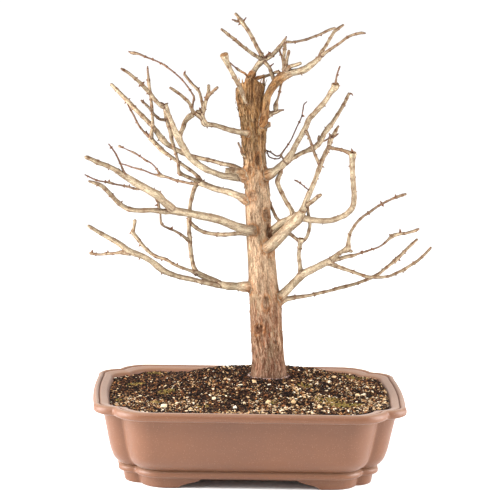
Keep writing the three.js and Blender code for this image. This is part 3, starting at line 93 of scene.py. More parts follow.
# The corner's lobes and hollow: the centre's distance from the lip's end and side, and the radius.
END_LOBE = (31.0, 60.0, 28.0)
HOLLOW = (25.8, 27.4, 5.0)
SIDE_LOBE = (70.3, 42.0, 42.0)
FLOOR_TOP = 22.0
FLOOR_UNDERSIDE = 12.8
DRAIN_HOLE_RADIUS = 12.0
DRAIN_HOLE_PLACE = 90.0
SCREENS = ("drain_screen_left", "drain_screen_right")

# The soil's mound, and the trunk's foot in it.
SOIL_MIDDLE = (20.0, 20.0)
SOIL_REACH = (190.0, 135.0)
SOIL_EDGE_HEIGHT = 103.0
SOIL_MOUND = 22.0
STUMP_BOTTOM = 60.0
STUMP_TOP = 119.0
TRUNK_DEPTH_RATIO = 0.9
# From this share of its radius outwards, a vertex of a rod lies on its skin and not on a cap.
SKIN = 0.99
LIMB_SWELL = 1.12

# What the bark's material reads at each vertex, besides the place along its grain.
BARK_READINGS = ("girth", "cut", "knot", "scar")

# How much brighter than its own colour a surface shows in the photograph's strong white light.
STUDIO_BRIGHTNESS = 1.5

# The pot's outer wall from under its floor to the middle of its rim: inset from the lip, z, and how
# much less the ends are inset than the sides.
POT_OUTSIDE = (
    (46, FLOOR_UNDERSIDE, 6), (45, 15, 6), (40.6, 15.4, 6), (39.2, 17.2, 6),
    (39.2, 20.8, 6), (40.4, 22.8, 6), (42.4, 24, 6), (37, 28.2, 5.6), (32, 34.5, 5.2), (28.3, 43, 4.8),
    (25.3, 54, 4.6), (22.6, 67, 4.5), (20, 80, 4.5), (17.8, 91, 4.5), (16.6, 95.2, 4.3),
    (3.2, 96.6, 0), (0.7, 98.4, 0), (0, 101.6, 0), (0.8, 105.4, 0), (2.8, RIM_TOP - 0.3, 0), (5, RIM_TOP, 0),
    (7, 106.8, 0), (8, 105, 0), (9, 106.6, 0), (18, 105.2, 0),
)
# Its inner wall, from the rim down to the floor, in the same way.
POT_INSIDE = (
    (19.4, 103.8, 0), (22.8, 98, 0), (28, 80, 2), (34, 54, 4), (37, 41, 4), (42, 30, 4), (50, 23.6, 4),
    (58, FLOOR_TOP, 4),
)
# The ring under the floor that is cut into the feet, in the same way.
FOOT_RING = (
    (46.4, FLOOR_UNDERSIDE + 0.6, 7), (47.2, 7, 7), (48.6, 1, 7), (49.6, 0, 7), (58, 0, 7), (59.4, 1.4, 7),
    (62, FLOOR_UNDERSIDE + 0.6, 7),
)
# The gap between two bracket feet: distance from the middle, and z, up one ogee side.
FOOT_GAP = ((93, -1), (93, 0), (90, 1.2), (86.5, 3.6), (78, 6.4), (70, 8.6), (64, 10.6), (61, 13.2))
END_GAP_CUT = 37.0

# The trunk from the front: z, and x of its left and right edge; and the x and z of its jagged top.
TRUNK_EDGES = (
    (STUMP_BOTTOM, 3, 50), (STUMP_TOP, 2, 51), (127, 2.6, 50.6), (131, 3.2, 50.1), (138, 3.7, 49.4),
    (146, 3.9, 47.7), (158, 3.3, 46), (173, 2.1, 44.4), (191, 0.9, 42.4), (209, 0, 41.2), (226, -1, 40.2),
    (240, -2, 36.9), (260, -2.8, 34.2), (280, -4, 31.8), (300, -5.9, 28.5), (322, -7.6, 25.8),
    (345, -9.2, 24), (370, -9.6, 22.6), (390, -10.2, 19.6), (410, -12.2, 16.6), (428, -15.2, 15.6),
    (446, -16.2, 16.4), (462, -18.3, 15.4), (476, -21.8, 13.2), (490, -24.9, 11.8), (501, -25.4, 13),
)
TRUNK_CROWN = ((-26, 501), (-18, 507), (-12, 510), (-8, 516), (-2, 516), (5, 511), (12, 508))
# How high the middle of the cut lies.
CROWN_HOLLOW = 503.0


@dataclass(frozen=True)
class Limb:
    """A limb as it is drawn from the front.

    Its points are x, z and radius on the upright plane through the trunk. The root names what it
    grows out of and meets what it reaches with its tip; start and reach are its depths where no
    other limb gives them, and bow is how far it bends back on its way.
    """

    name: str
    root: str
    points: tuple[tuple[float, float, float], ...]
    start: float = 0.0
    reach: float = 0.0
    meets: str = ""
    bow: float = 0.0


LIMBS = (
    Limb("crown_cut", "trunk", (
        (-9, 478, 1), (-12, 486, 1.8), (-15, 494, 2.4), (-17.5, 500, 2.7), (-20, 506, 2.6),
        (-24, 512.5, 2.5), (-28, 520, 2.5), (-32, 527, 2.6), (-35.5, 533.5, 3), (-38.5, 540, 3.9),
        (-40.3, 545.5, 4.9),
    ), start=-17, reach=-42),
    Limb("crown_thread", "trunk", (
        (-7, 514, 1.3), (-13, 521.5, 1), (-18, 524.3, 1), (-22, 526.6, 1.7), (-25.6, 529.4, 0.9),
        (-29.5, 532.5, 0.8), (-34, 536.5, 0.8),
    ), start=-3, reach=-27),
    Limb("peak", "trunk", (
        (-7.5, 500, 5.4), (-6.8, 513, 4.2), (-4, 520, 3.4), (-0.4, 526.8, 3.1), (3, 532, 3.1),
        (7, 536.5, 3.7), (10.4, 540, 3.6),
    ), start=0, reach=4),
    Limb("peak_left", "peak", (
        (9.5, 538, 2.9), (8.3, 545, 2.5), (5.8, 549.2, 2.3), (2.7, 554.3, 2.2), (-0.4, 560, 2.2),
        (-3.1, 565.3, 2.2), (-6.5, 571, 2.2), (-9.6, 576.2, 2.2), (-13.4, 581.3, 2.3), (-17.2, 586.4, 2.7),
        (-20.5, 589.8, 2.8), (-23.2, 594.5, 1.9), (-26.6, 598.1, 1.7),
    ), reach=28),
    Limb("peak_left_spur", "peak_left", (
        (-19, 588.5, 1.7), (-24.5, 588.3, 1.5), (-28, 589.6, 1.2), (-30.8, 590.4, 0.9),
    ), reach=22),
    Limb("peak_left_prick", "peak_left", ((-17, 588, 1.2), (-15.2, 590.3, 1), (-13, 593.2, 0.7)), reach=30),
    Limb("peak_low", "peak", (
        (9.5, 539.5, 2.6), (4.4, 542.5, 2.2), (-1.5, 545.7, 2.1), (-7.5, 549.7, 2), (-12, 553.2, 1.9),
        (-17.3, 556.9, 1.9), (-22.5, 561.2, 1.9), (-28.6, 566.3, 1.8), (-33.8, 569.9, 1.8),
        (-39.1, 574.2, 1.7), (-44.3, 577.8, 1.5),
    ), reach=-38),
    Limb("peak_right", "peak", (
        (9.8, 539.5, 3), (14.8, 542, 2.9), (19.2, 544.4, 2.6), (22.8, 547.2, 2.5), (26.4, 551, 2.5),
        (30, 555.5, 2.4), (33.6, 559.4, 2.4), (36, 563.2, 2.3), (37.6, 566.3, 1.6), (39.3, 570, 0.9),
    ), reach=-6),
    Limb("peak_right_snag", "peak_right", (
        (12, 541.5, 1.4), (15.5, 546.5, 1.1), (19, 549.6, 0.8),
    ), reach=-9),
    Limb("leader", "trunk", (
        (4, 450, 4.8), (10.5, 459, 4.8), (13.5, 470, 4.4), (14.4, 479.2, 4.2), (15.4, 486.6, 4.2),
        (17.1, 494.1, 4.1), (20.6, 501.6, 4.3), (25, 507.7, 4.8), (29, 513, 5.6), (34, 517.5, 5.6),
        (41.5, 521.8, 5), (48.5, 524.1, 4.2), (56, 525.6, 4), (62, 527.6, 4.4), (66.5, 530.2, 4.2),
        (72, 534.5, 3.6), (77.4, 538.8, 3), (81.5, 543.1, 2.7), (85.6, 546.8, 2.3),
    ), start=-7, reach=-20),
    Limb("leader_low", "leader", (
        (84.5, 546, 2.3), (89, 549.8, 2), (95.9, 554.6, 1.8), (106.2, 561.7, 1.6), (111, 565.3, 1.6),
        (115.1, 568.8, 1.6), (119.9, 571.7, 1.6), (124.8, 573.9, 1.6), (130.3, 575.4, 1.6),
        (135.5, 576.5, 1.7), (140.5, 576.2, 1),
    ), reach=-55),
    Limb("leader_high", "leader", (
        (82.5, 544.3, 2.4), (85.5, 552.2, 2), (88.8, 557.1, 1.9), (92.2, 562.8, 1.9), (97.6, 572.7, 1.8),
        (100.2, 577, 1.9), (103.7, 580, 1.8), (107.8, 583.4, 1.7), (111.9, 586.3, 1.4),
    ), reach=5),
    Limb("leader_prop", "peak_right", (
        (36.5, 562.5, 2), (37.5, 557.5, 1.9), (37.1, 551, 1.9), (36.4, 543.7, 1.9), (36.6, 536.4, 2.1),
        (37.4, 529, 2.3), (38, 522, 2.4),
    ), meets="leader"),
    Limb("leader_prop_thread", "peak_right", (
        (30, 555, 1.3), (31.5, 550, 1.2), (33.6, 544.8, 1.1), (35, 539.5, 1.1), (36.4, 534, 1.2),
    ), meets="leader_prop"),
    Limb("leader_shoot", "leader", (
        (39, 522, 2.4), (39.8, 532.8, 1.8), (40.6, 539.5, 1.7), (41.6, 545.3, 1.7), (43, 551.9, 1.6),
    ), reach=-16),
    Limb("leader_stub", "leader", (
        (40, 524, 2.6), (45, 531.5, 2.2), (52, 533.9, 2.1), (58.3, 536.2, 2),
    ), reach=-24),
    Limb("crown_arch", "peak_right", (
        (36, 563, 1.9), (41, 563.2, 1.7), (46, 563, 1.4), (52, 563.8, 1.4), (65.5, 567, 1.5),
        (72.4, 569.8, 1.5), (79.3, 572.4, 1.5), (86.2, 575.6, 1.5), (91.7, 578.5, 1.6), (96.6, 580.7, 1.7),
        (101.4, 582.2, 1.4),
    ), reach=35),
    Limb("crown_link", "peak", (
        (10, 539, 2.6), (14.9, 533.9, 2.1), (18.5, 529.5, 2), (20.6, 524.3, 2.1), (22.5, 519, 2.3),
        (26, 511, 2.3),
    ), meets="leader"),
    Limb("crown_link_prick", "crown_link", (
        (18, 530, 1.2), (20.5, 532.6, 0.9), (23.5, 535, 0.7),
    ), reach=-4),
    Limb("crown_back", "trunk", (
        (-1, 508, 2.6), (2.5, 515.6, 1.9), (7.9, 517.5, 1.7), (15.2, 519.3, 1.7), (22, 521.8, 1.7),
        (28, 524.5, 1.8), (34, 522, 2),
    ), start=6, bow=8, meets="leader"),
    Limb("right_stub", "trunk", (
        (10, 460, 4.2), (17, 468, 3.6), (22.8, 471.1, 2.6), (28, 472.8, 2.4), (33.2, 474.8, 1.6),
        (38, 475.7, 0.9),
    ), start=-4, reach=-16),
    Limb("right_riser", "right_stub", (
        (28, 472.5, 2.3), (27.6, 478, 2.8), (27.8, 483, 2.3), (29, 487.5, 1.6), (30.2, 490.5, 1.3),
        (31.5, 496, 1.3), (32.8, 502.8, 1.3), (33.5, 508, 1.5), (34, 516, 1.8),
    ), meets="leader"),
    Limb("right_cut", "trunk", ((8, 450, 4.4), (16, 455.8, 3.7), (20.8, 456.6, 3)), start=-5, reach=-9),
    Limb("right_high", "trunk", (
        (4, 388, 5.8), (19, 391.5, 5.6), (26.9, 395, 5), (34.3, 401, 4.5), (38.7, 405.3, 4.3),
        (44, 410.5, 4.1),
    ), start=-4, reach=-2),
    Limb("right_high_left", "right_high", (
        (42, 408.5, 3.9), (46.5, 415, 3.7), (50.6, 421.6, 3.4), (53.4, 428.3, 3.1), (57, 435, 3),
        (60.5, 441.6, 3), (64.1, 448.4, 3.2), (67.5, 455, 3.2), (69.7, 461.7, 3), (72, 466, 3),
        (77.6, 471.8, 2.9), (83.2, 478.5, 3), (89.2, 485.2, 3), (93.7, 491.9, 2.8), (97.7, 498.7, 2.9),
        (101.5, 503.8, 3.7), (103.6, 508, 4.5), (103.8, 510.5, 4.2),
    ), reach=-34),
    Limb("right_high_spike", "right_high_left", (
        (103.6, 506, 1.8), (104.1, 512, 1.3), (104.8, 518.3, 1.1), (106, 523.9, 1), (107.2, 528.1, 1),
        (108.9, 533, 1),
    ), reach=-42),
    Limb("right_high_right", "right_high", (
        (41, 407, 3.8), (49, 412.5, 2.8), (54.1, 415.2, 2.5), (60, 419, 2.5), (67.4, 422.6, 2.5),
        (72, 424.6, 2.9), (76.3, 426.5, 3.7), (80.3, 429, 3.1), (83.8, 432.3, 3), (86.8, 436.8, 3),
        (89.2, 442.1, 2.8), (91, 446.6, 2.8), (94.5, 451, 3.2), (97, 454.6, 3.1), (99.5, 457.6, 2.6),
        (104.6, 465.7, 2.3), (109.7, 474.4, 2.1), (115.4, 484.5, 2), (118, 489.8, 1.9), (119.8, 494.5, 1.8),
        (121.6, 498.6, 1.5),
    ), reach=42),
    Limb("right_high_hook", "right_high_right", (
        (121, 496.5, 1.2), (124.2, 498.5, 1), (126.5, 496, 0.7),
    ), reach=44),
    Limb("right_high_snag", "right_high_right", (
        (86, 434.5, 1.8), (83.6, 439, 1.4), (84.5, 442.8, 1.3),
    ), reach=12),
    Limb("right_high_thread", "right_high_right", (
        (86.2, 435.5, 1.7), (92, 436.8, 1.2), (95.5, 438.8, 0.9), (98, 442.3, 0.8), (99.2, 445, 0.7),
    ), reach=34),
    Limb("right_whip", "right_high", (
        (40.5, 407.5, 1.3), (38.3, 413, 1), (35.7, 416.6, 1.4), (38, 421, 1), (45.1, 431.7, 0.8),
        (48.7, 437.7, 0.8), (54.3, 451.2, 0.8), (60, 464, 0.8), (61.4, 467.8, 0.8), (62.7, 476, 0.75),
        (63.9, 483, 0.75), (67.6, 486.9, 0.6),
    ), reach=20),
    Limb("right_whip_left", "right_whip", (
        (36, 417, 1.1), (29.9, 415.8, 0.9), (26.1, 417.9, 0.9), (21.6, 420.8, 0.9), (13, 424, 1),
    ), reach=14),
    Limb("right_whip_low", "right_whip", (
        (36, 416, 0.9), (33.7, 412.8, 0.8), (28.5, 412, 0.75), (24, 413, 0.75), (20.3, 414.8, 0.75),
        (17.8, 421, 0.7),
    ), reach=8),
    Limb("right_front", "trunk", (
        (14, 293, 4.8), (25, 298.5, 6), (30, 303, 6.4), (35.3, 309.1, 6.2), (43.2, 317.6, 6.1),
        (49.3, 324.6, 6.1), (56, 330.8, 6.2), (61, 336, 6), (64, 342, 4.6), (65, 344.5, 3.6),
    ), start=-10, reach=-44),
    Limb("right_front_twin", "trunk", (
        (16, 304, 5.2), (26, 316, 4.6), (32, 323, 4.4), (38.5, 328.3, 4.3), (46, 331.9, 4.2),
        (53, 336.4, 4.2), (59, 340, 3.6),
    ), start=0, reach=-27),
    Limb("right_bow", "right_front", (
        (56, 332, 4.6), (63, 335.6, 4), (69.4, 334.6, 3.7), (74.7, 333.3, 3.6), (80.7, 332.7, 3.4),
        (88.2, 332.1, 3.3), (95, 332.1, 3.2), (103.1, 332.9, 3.1), (109.7, 335.1, 3.1), (115.6, 337.5, 3.1),
        (121.1, 340.6, 3.1), (125.6, 344.4, 3.1), (129, 348.3, 3.2), (130.8, 352.6, 3.1), (131.8, 363.4, 3),
        (130.7, 378.3, 2.9), (129.1, 393.2, 3), (128.2, 408.2, 3.1), (128.2, 414, 3.4), (128.6, 418.5, 4.2),
        (128.8, 422, 4),
    ), reach=-84),
    Limb("right_fork", "right_front", (
        (62.5, 338, 4.4), (65.8, 345.5, 3.9), (67.9, 350.7, 3.7), (70.2, 358.3, 3.3), (72.7, 365.9, 3.2),
        (76, 373.4, 2.9), (79.1, 381, 2.7), (84.2, 396.1, 2.7), (86, 401.4, 2.9), (87.6, 407.4, 2.7),
        (90.7, 415, 2.5), (94.3, 422.6, 2.6), (97.4, 429, 2.7), (98.6, 435.2, 2.6), (100.4, 440.2, 2.6),
        (103.7, 445.7, 2.2), (106.4, 451, 1.9), (109.3, 456, 1.3),
    ), reach=-12),
    Limb("right_bow_arm", "right_bow", (
        (128, 419.6, 3.2), (122.9, 422.1, 2.4), (117.5, 424, 2), (112.2, 425.4, 1.9), (106.9, 426.3, 1.9),
        (102, 427, 2), (97, 428.4, 2.2),
    ), meets="right_fork"),
    Limb("right_fork_snag", "right_fork", (
        (99.8, 438, 1.5), (98.5, 443, 1.1), (97.6, 446.2, 0.9),
    ), reach=-20),
    Limb("right_fork_spur", "right_fork", (
        (101, 441, 1.5), (105.5, 443.5, 1.3), (109, 446, 0.9),
    ), reach=-24),
    Limb("right_fork_link", "right_fork", (
        (87.3, 404, 2.2), (82.5, 412.6, 1.8), (79.8, 418.5, 1.7), (77.8, 423.5, 1.6), (75.7, 429.9, 1.6),
        (73.6, 435.2, 1.5), (71.5, 440.4, 1.5), (69.4, 445.7, 1.6), (66, 452, 1.8),
    ), meets="right_high_left"),
    Limb("right_fork_stub", "right_fork", (
        (69, 350.5, 2.6), (73.4, 353.9, 2.3), (77, 356.8, 2.3), (81.4, 360.6, 2.4), (85.1, 364.1, 2.4),
        (88.8, 366.3, 1.7),
    ), reach=-52),
    Limb("right_fork_thread", "right_fork", (
        (75, 371, 1), (72, 372.7, 0.8), (64.6, 378.5, 0.75), (60.8, 381.4, 0.75), (57.1, 383.6, 1.2),
        (54, 384.7, 0.7),
    ), reach=-58),
    Limb("right_elbow", "right_front_twin", (
        (54, 337, 3.2), (50.4, 346.6, 2.6), (46.6, 352.6, 2.5), (42.7, 358.5, 2.4), (39.6, 364.5, 2.4),
        (36.5, 370.4, 2.5), (33.3, 377.2, 2.6), (32, 382.4, 2.9), (33.1, 387.5, 2.6), (35.2, 392.3, 2.3),
        (36.6, 401.5, 2.4),
    ), meets="right_high"),
    Limb("right_behind", "right_front_twin", (
        (37, 328, 2.3), (34, 332.8, 1.9), (31.2, 335.7, 1.8), (28.1, 342.5, 1.8), (24.9, 349.2, 1.7),
        (22.6, 355.2, 1.7), (19.6, 362, 1.6),
    ), reach=19),
    Limb("right_low", "trunk", (
        (27, 224, 5.6), (38, 231, 5.2), (45.6, 238, 4.8), (51.4, 244.4, 4.7), (56.5, 249.8, 4.6),
        (61.6, 255.2, 4.7), (66, 259.8, 4.9), (71.2, 263.7, 4.7), (76.4, 266.3, 4.4), (82.3, 269.2, 4.1),
        (94.1, 275.4, 3.9), (100, 278, 4.4), (105, 280, 4.6),
    ), start=-2, reach=-24),
    Limb("right_low_riser", "right_low", (
        (65.2, 260, 3.3), (64.3, 269.7, 2.5), (63.4, 275, 2.3), (62.5, 281, 2.3), (62, 286.3, 2.3),
        (62.8, 297, 2.4), (63.2, 302, 2.8), (64.1, 306.5, 4.2), (64.2, 308.2, 4.6),
    ), reach=-30),
    Limb("ring_left", "right_front", (
        (46, 317, 2.4), (53.4, 311.6, 2), (57.2, 308.6, 2), (63, 304.5, 2.2),
    ), meets="right_low_riser"),
    Limb("ring_right", "right_low_riser", (
        (64.5, 304, 2.3), (69.3, 307.5, 1.9), (72.2, 311.5, 1.9), (73.9, 316.8, 1.9), (75, 322.1, 1.9),
        (75.4, 327, 1.9), (74.6, 333, 1.8), (73, 341, 1.8), (71.6, 347, 1.9), (69.4, 354.5, 2.2),
    ), meets="right_fork"),
    Limb("right_low_high", "right_low", (
        (102, 279, 3.8), (108, 284.3, 3), (112, 287.9, 2.7), (117.7, 291.9, 2.8), (122.5, 294.2, 3.6),
        (125.6, 296.4, 4), (126, 300, 3), (126.2, 305, 2.3), (126.9, 312, 2), (128.8, 318.6, 1.8),
        (132.1, 324.2, 1.7), (135.6, 329.8, 1.6), (140.9, 335.5, 1.6), (146.3, 340.2, 1.5),
        (150.8, 343, 1.6), (161.5, 351.4, 1.4), (173.2, 358.3, 1.3), (178.7, 361.1, 1.3), (185, 364, 1.5),
        (191.3, 366.4, 1.7), (199, 368.9, 1.4),
    ), reach=-80),
    Limb("right_low_heel", "right_low_high", ((124.5, 295, 2.8), (131, 292.3, 1.7)), reach=-38),
    Limb("right_low_mid", "right_low", (
        (102.5, 278.6, 3.4), (110, 281.4, 2.6), (121.3, 284.6, 2.4), (126, 286, 2.4), (132.2, 287, 2.2),
        (138.5, 289.2, 1.4), (149.4, 292.9, 1.3), (154.9, 294.9, 1.2), (161.2, 297, 1.1),
        (166.7, 299.4, 1.1), (172.1, 303.2, 1.2), (177.4, 308.3, 1.5), (182.2, 313, 2.2),
        (187.3, 315.4, 2.4), (192.8, 316.5, 1.9), (200, 317.5, 1.7), (206.4, 319.3, 1.7), (211.9, 321, 1.8),
        (217.2, 323.6, 1.4),
    ), reach=30),
    Limb("right_low_drop", "right_low", (
        (102, 277, 3.6), (108, 274, 2.7), (116.2, 271.1, 2.4), (125.4, 268, 2.2), (134.7, 265, 2.1),
        (143.9, 261.9, 2), (150.4, 259.8, 2), (157.7, 259, 1.9), (171.4, 259.3, 1.8), (180.5, 260.6, 1.7),
        (187.8, 263.9, 1.8), (194, 267, 1.8), (198.6, 268.9, 2.1), (205.7, 273.9, 1.8), (216.6, 281.2, 1.8),
        (221.9, 286, 1.7), (227.2, 291.4, 1.7), (232.4, 297.3, 1.6), (233.9, 299.8, 1.2),
    ), reach=-62),
    Limb("right_lowest", "trunk", (
        (28, 217, 5.2), (38, 224.6, 4.5), (45, 228, 3.6), (50, 229, 3.1), (57, 230.5, 2.7),
        (64.4, 231.6, 2.3), (79.3, 234, 2), (86.8, 236.1, 2.1), (101.7, 239.7, 1.9), (109.1, 241.9, 2),
        (116.8, 244.3, 2.2), (135.1, 249.4, 1.9), (144.2, 252.7, 1.9), (151.4, 255.5, 2),
        (158.5, 258.9, 2.3), (166.7, 263.4, 2), (175.6, 271.2, 1.9), (181.9, 276.4, 2), (187.3, 281, 2.5),
        (191.7, 285.3, 2.2), (196.1, 290, 2), (205, 299.4, 1.9), (215.6, 309.8, 1.6),
    ), start=3, reach=72),
    Limb("left_high", "trunk", (
        (-2, 443, 3.4), (-12, 445, 3.1), (-20, 446.3, 3.1), (-30, 448.3, 2.9), (-40, 451.2, 2.8),
        (-50, 454.2, 2.6), (-58, 455, 2.8), (-62.5, 455.8, 3.6), (-65, 459, 3.4), (-67, 464.5, 3.2),
        (-68, 470, 3.6), (-69, 473.5, 3),
    ), start=-13, reach=-32),
    Limb("left_high_knob", "left_high", ((-67, 470.5, 2.6), (-74, 472, 1.8)), reach=-36),
    Limb("left_high_low", "left_high", (
        (-67, 463, 2.6), (-73.8, 467.4, 2.2), (-78.3, 470.7, 2.2), (-80.9, 475, 1.9), (-82.5, 480.1, 1.8),
        (-85.3, 484.1, 2), (-89.4, 487.7, 1.8), (-94.4, 492.1, 1.8), (-99.4, 495.7, 1.7),
        (-104, 498.8, 1.7), (-108.8, 501.8, 1.4),
    ), reach=-68),
    Limb("left_high_arch", "left_high_low", (
        (-77.5, 470, 1.7), (-79.8, 475.6, 1.4), (-79.4, 480.2, 1.3), (-78.3, 485.6, 1.3), (-78, 490.2, 1.3),
        (-80, 494, 1.1), (-86.5, 503.6, 1), (-94.8, 513.4, 0.9), (-100.2, 518.2, 0.9), (-105.7, 522.7, 0.9),
        (-111.2, 526.6, 1.1), (-114.9, 529.4, 1.3), (-120.4, 532.6, 1), (-130, 536.8, 1),
        (-138.5, 539.8, 1.1), (-149.9, 544.3, 1.4), (-155.5, 545.2, 1.9), (-159, 545.6, 1.6),
        (-162.5, 547.2, 0.8),
    ), reach=25),
    Limb("left_high_top", "left_high", (
        (-67.5, 467, 2.3), (-66, 475, 1.9), (-66.7, 480.3, 1.8), (-68, 485.7, 1.7), (-69.6, 492, 1.6),
        (-71.5, 497.4, 1.6), (-74.7, 501.5, 1.8), (-79.2, 505.5, 1.6), (-83.8, 510.7, 1.6),
        (-87.5, 515.2, 1.6), (-91, 519.3, 1.5),
    ), reach=-5),
    Limb("left_high_inner", "left_high", (
        (-67, 469, 2.8), (-64.7, 476.7, 2.4), (-63.4, 482.2, 2.1), (-61.7, 488.6, 2.1), (-59.9, 494, 2.1),
        (-59.2, 499.5, 1.9), (-59.3, 505.6, 1.8),
    ), reach=-45),
    Limb("left_high_fork", "left_high_inner", (
        (-62, 487.5, 2), (-59, 492.3, 1.8), (-54, 497.5, 1.8), (-51.2, 500.2, 1.7), (-47.8, 503.2, 1.5),
    ), reach=-58),
    Limb("left_side_stub", "trunk", (
        (-9, 409, 1.9), (-14, 417, 1.4), (-16.2, 424, 1.2), (-19.8, 432, 1.3),
    ), start=-8, reach=-14),
    Limb("left_block", "trunk", (
        (2, 389, 7.6), (-12, 390.4, 7.4), (-22, 391.3, 7.2), (-31, 392, 6.9), (-35, 392.3, 6.2),
    ), start=1, reach=5),
    Limb("left_long", "left_block", (
        (-14, 394, 3.8), (-22, 399.5, 3.1), (-30, 402.7, 2.6), (-40, 404.6, 2.4), (-50, 407.2, 2.3),
        (-60, 409.5, 2.4), (-70, 411.4, 2.5), (-80, 413.6, 2.7), (-90, 417.3, 2.9), (-96, 420, 2.7),
        (-106.3, 425.4, 2.6), (-111.8, 429, 3), (-116.4, 433.5, 3.6), (-121, 438.8, 3.5), (-125.5, 445, 3),
        (-129.2, 450, 2.7), (-139.3, 460.2, 2.6), (-149.9, 470.4, 2.6), (-155.8, 476.1, 2.7),
        (-161.3, 481.9, 3), (-165.9, 486.4, 2.5), (-175.5, 496, 2.3), (-184.3, 504.6, 1.9),
    ), reach=88),
    Limb("left_rise", "left_block", (
        (-12, 387, 4), (-20, 386.3, 3.7), (-30, 387.6, 3.6), (-40, 389.2, 3.5), (-50, 392.7, 3.3),
        (-60, 396.6, 3.4), (-65, 399.4, 3.6), (-70, 402.6, 3.7), (-75, 406.2, 3.7), (-80, 410, 3.7),
        (-84.5, 415.2, 3.7), (-88.2, 421, 3.8), (-91, 426, 3.7), (-94, 430.6, 3.7), (-95.8, 435, 4),
        (-98, 440, 4.4), (-101, 444.5, 3.6), (-104.2, 452.5, 2.9), (-107.9, 461.5, 2.6),
        (-111.5, 469.6, 2.8), (-113.8, 475, 3.4), (-116, 479.5, 3.9),
    ), reach=-48),
    Limb("left_rise_side", "left_rise", (
        (-96.5, 437, 3.1), (-94.2, 443.5, 2.6), (-91.4, 450.1, 2.5), (-89.5, 456.5, 2.6),
        (-86.8, 461.1, 2.9), (-83.2, 464.8, 3.4), (-79.5, 467.3, 3.6),
    ), reach=-8),
    Limb("left_rise_tip", "left_rise", (
        (-114, 476, 3), (-120, 478.5, 2.4), (-125.5, 483, 2.2), (-130.1, 488.2, 2.2), (-133.3, 492.7, 2.3),
        (-142, 501.7, 2.3), (-145.7, 505.6, 2.2), (-150.3, 509.7, 1.9), (-156.6, 515, 1.8),
        (-162.1, 519.4, 1.7), (-167.6, 522.8, 1.6), (-171.8, 524.9, 1.3),
    ), reach=-78),
    Limb("left_mid", "trunk", (
        (2, 353, 5.8), (-9, 358.5, 5), (-15, 361.4, 4.4), (-20, 363.5, 4.1), (-30, 367.4, 3.9),
        (-40, 369.8, 3.6), (-50, 372.3, 3.5), (-60, 376, 3.4), (-66.2, 378.6, 4), (-69.5, 380.5, 3.9),
    ), start=-8, reach=20),
    Limb("left_mid_high", "left_mid", (
        (-66.5, 378.5, 3), (-69.3, 384.5, 2.4), (-72.8, 388.8, 2.1), (-76.4, 392.2, 2), (-85.5, 398.4, 2),
        (-94.5, 404.3, 2), (-104.5, 411.3, 2), (-110, 414.9, 2.1), (-115.4, 418.6, 2.5),
        (-120.5, 423.4, 2.8), (-125.3, 428, 2.6), (-129.5, 432.3, 2.5), (-133.6, 437, 3.6),
    ), reach=42),
    Limb("left_mid_tall", "left_mid_high", (
        (-132.5, 436, 2.8), (-131.6, 443.5, 2.1), (-130.3, 452.2, 1.9), (-130.7, 461.1, 1.8),
        (-131.3, 470.1, 1.8), (-132.9, 485.5, 1.7), (-134.8, 498.9, 1.8), (-136.3, 507, 2),
        (-136.8, 514.2, 1.6), (-137.6, 521.5, 1.2), (-138.1, 528.5, 0.9),
    ), reach=30),
    Limb("left_mid_whip", "left_mid_high", (
        (-133, 437, 2.3), (-137.5, 440.3, 1.7), (-141, 443.5, 1.4), (-145.6, 448.6, 1.3),
        (-149.3, 453.9, 1.2), (-155.2, 465.6, 1.1), (-158.5, 470.9, 1.1), (-163, 479.5, 0.8),
    ), reach=58),
    Limb("left_mid_snag", "left_mid_high", (
        (-134.5, 437.5, 1.7), (-137.5, 442.3, 1), (-138.7, 445.2, 0.8),
    ), reach=46),
    Limb("left_mid_rise", "left_mid", (
        (-67, 379.5, 2.9), (-74.2, 382.3, 2.3), (-79.7, 384.6, 2.2), (-89.6, 388.7, 2.1), (-94.2, 391, 2.6),
        (-96, 395.6, 1.9), (-96.5, 401.1, 1.7), (-97.1, 406.6, 1.6), (-98.9, 413, 1.5),
        (-101.4, 420.5, 1.6), (-103.6, 428, 1.8), (-105.7, 434.8, 2.2), (-107, 443.4, 2.4),
        (-109.8, 452.4, 2.4), (-113, 461.2, 2.1), (-114.5, 468, 1.9), (-115.3, 474, 1.7),
    ), reach=-8),
    Limb("left_mid_twig", "left_mid_rise", (
        (-112, 460, 2), (-117, 460.2, 1.7), (-121, 460.6, 1.6), (-125.6, 463.9, 1.6), (-130.2, 468.4, 1.6),
        (-133.9, 473.7, 1.6), (-138.4, 478.2, 1.6), (-145.5, 484.5, 1.3),
    ), reach=-32),
    Limb("left_mid_flat", "left_mid", (
        (-67.5, 379, 2.4), (-74, 378.2, 1.9), (-79.7, 378, 1.7), (-89.3, 379.9, 1.5), (-100, 381.9, 1.6),
        (-110, 385.5, 1.5), (-115, 386.7, 1.9), (-119, 387.6, 2.4), (-124, 388.5, 1.5), (-129.2, 389.5, 1),
        (-140, 393.7, 1), (-148.5, 396, 1.3), (-155.5, 397.7, 0.9), (-162, 400, 0.9), (-170.5, 402.3, 0.75),
    ), reach=82),
    Limb("left_mid_beads", "left_mid_flat", (
        (-118.5, 387.5, 2), (-121.5, 391.5, 1.5), (-123.8, 395.2, 1.1), (-127.5, 399.8, 0.85),
        (-132, 403.8, 0.85), (-139.2, 407.4, 1.3), (-145.5, 412, 0.8), (-154, 416.8, 1.4),
        (-161, 419.8, 0.75), (-168, 423, 0.8), (-173.3, 425, 1.8),
    ), reach=98),
    Limb("left_front", "trunk", (
        (5, 318, 4.8), (-3, 318.5, 4.9), (-10, 320, 4.9), (-20, 322.8, 4.9), (-30, 326.6, 4.8),
        (-40, 330.3, 4.7), (-50, 333.2, 4.7), (-60, 334.9, 4.6), (-70, 336.7, 4.4), (-80, 338.8, 4.3),
        (-90, 340.4, 4.3), (-98, 341.7, 4.4), (-104, 344, 5), (-108.5, 348, 4.6),
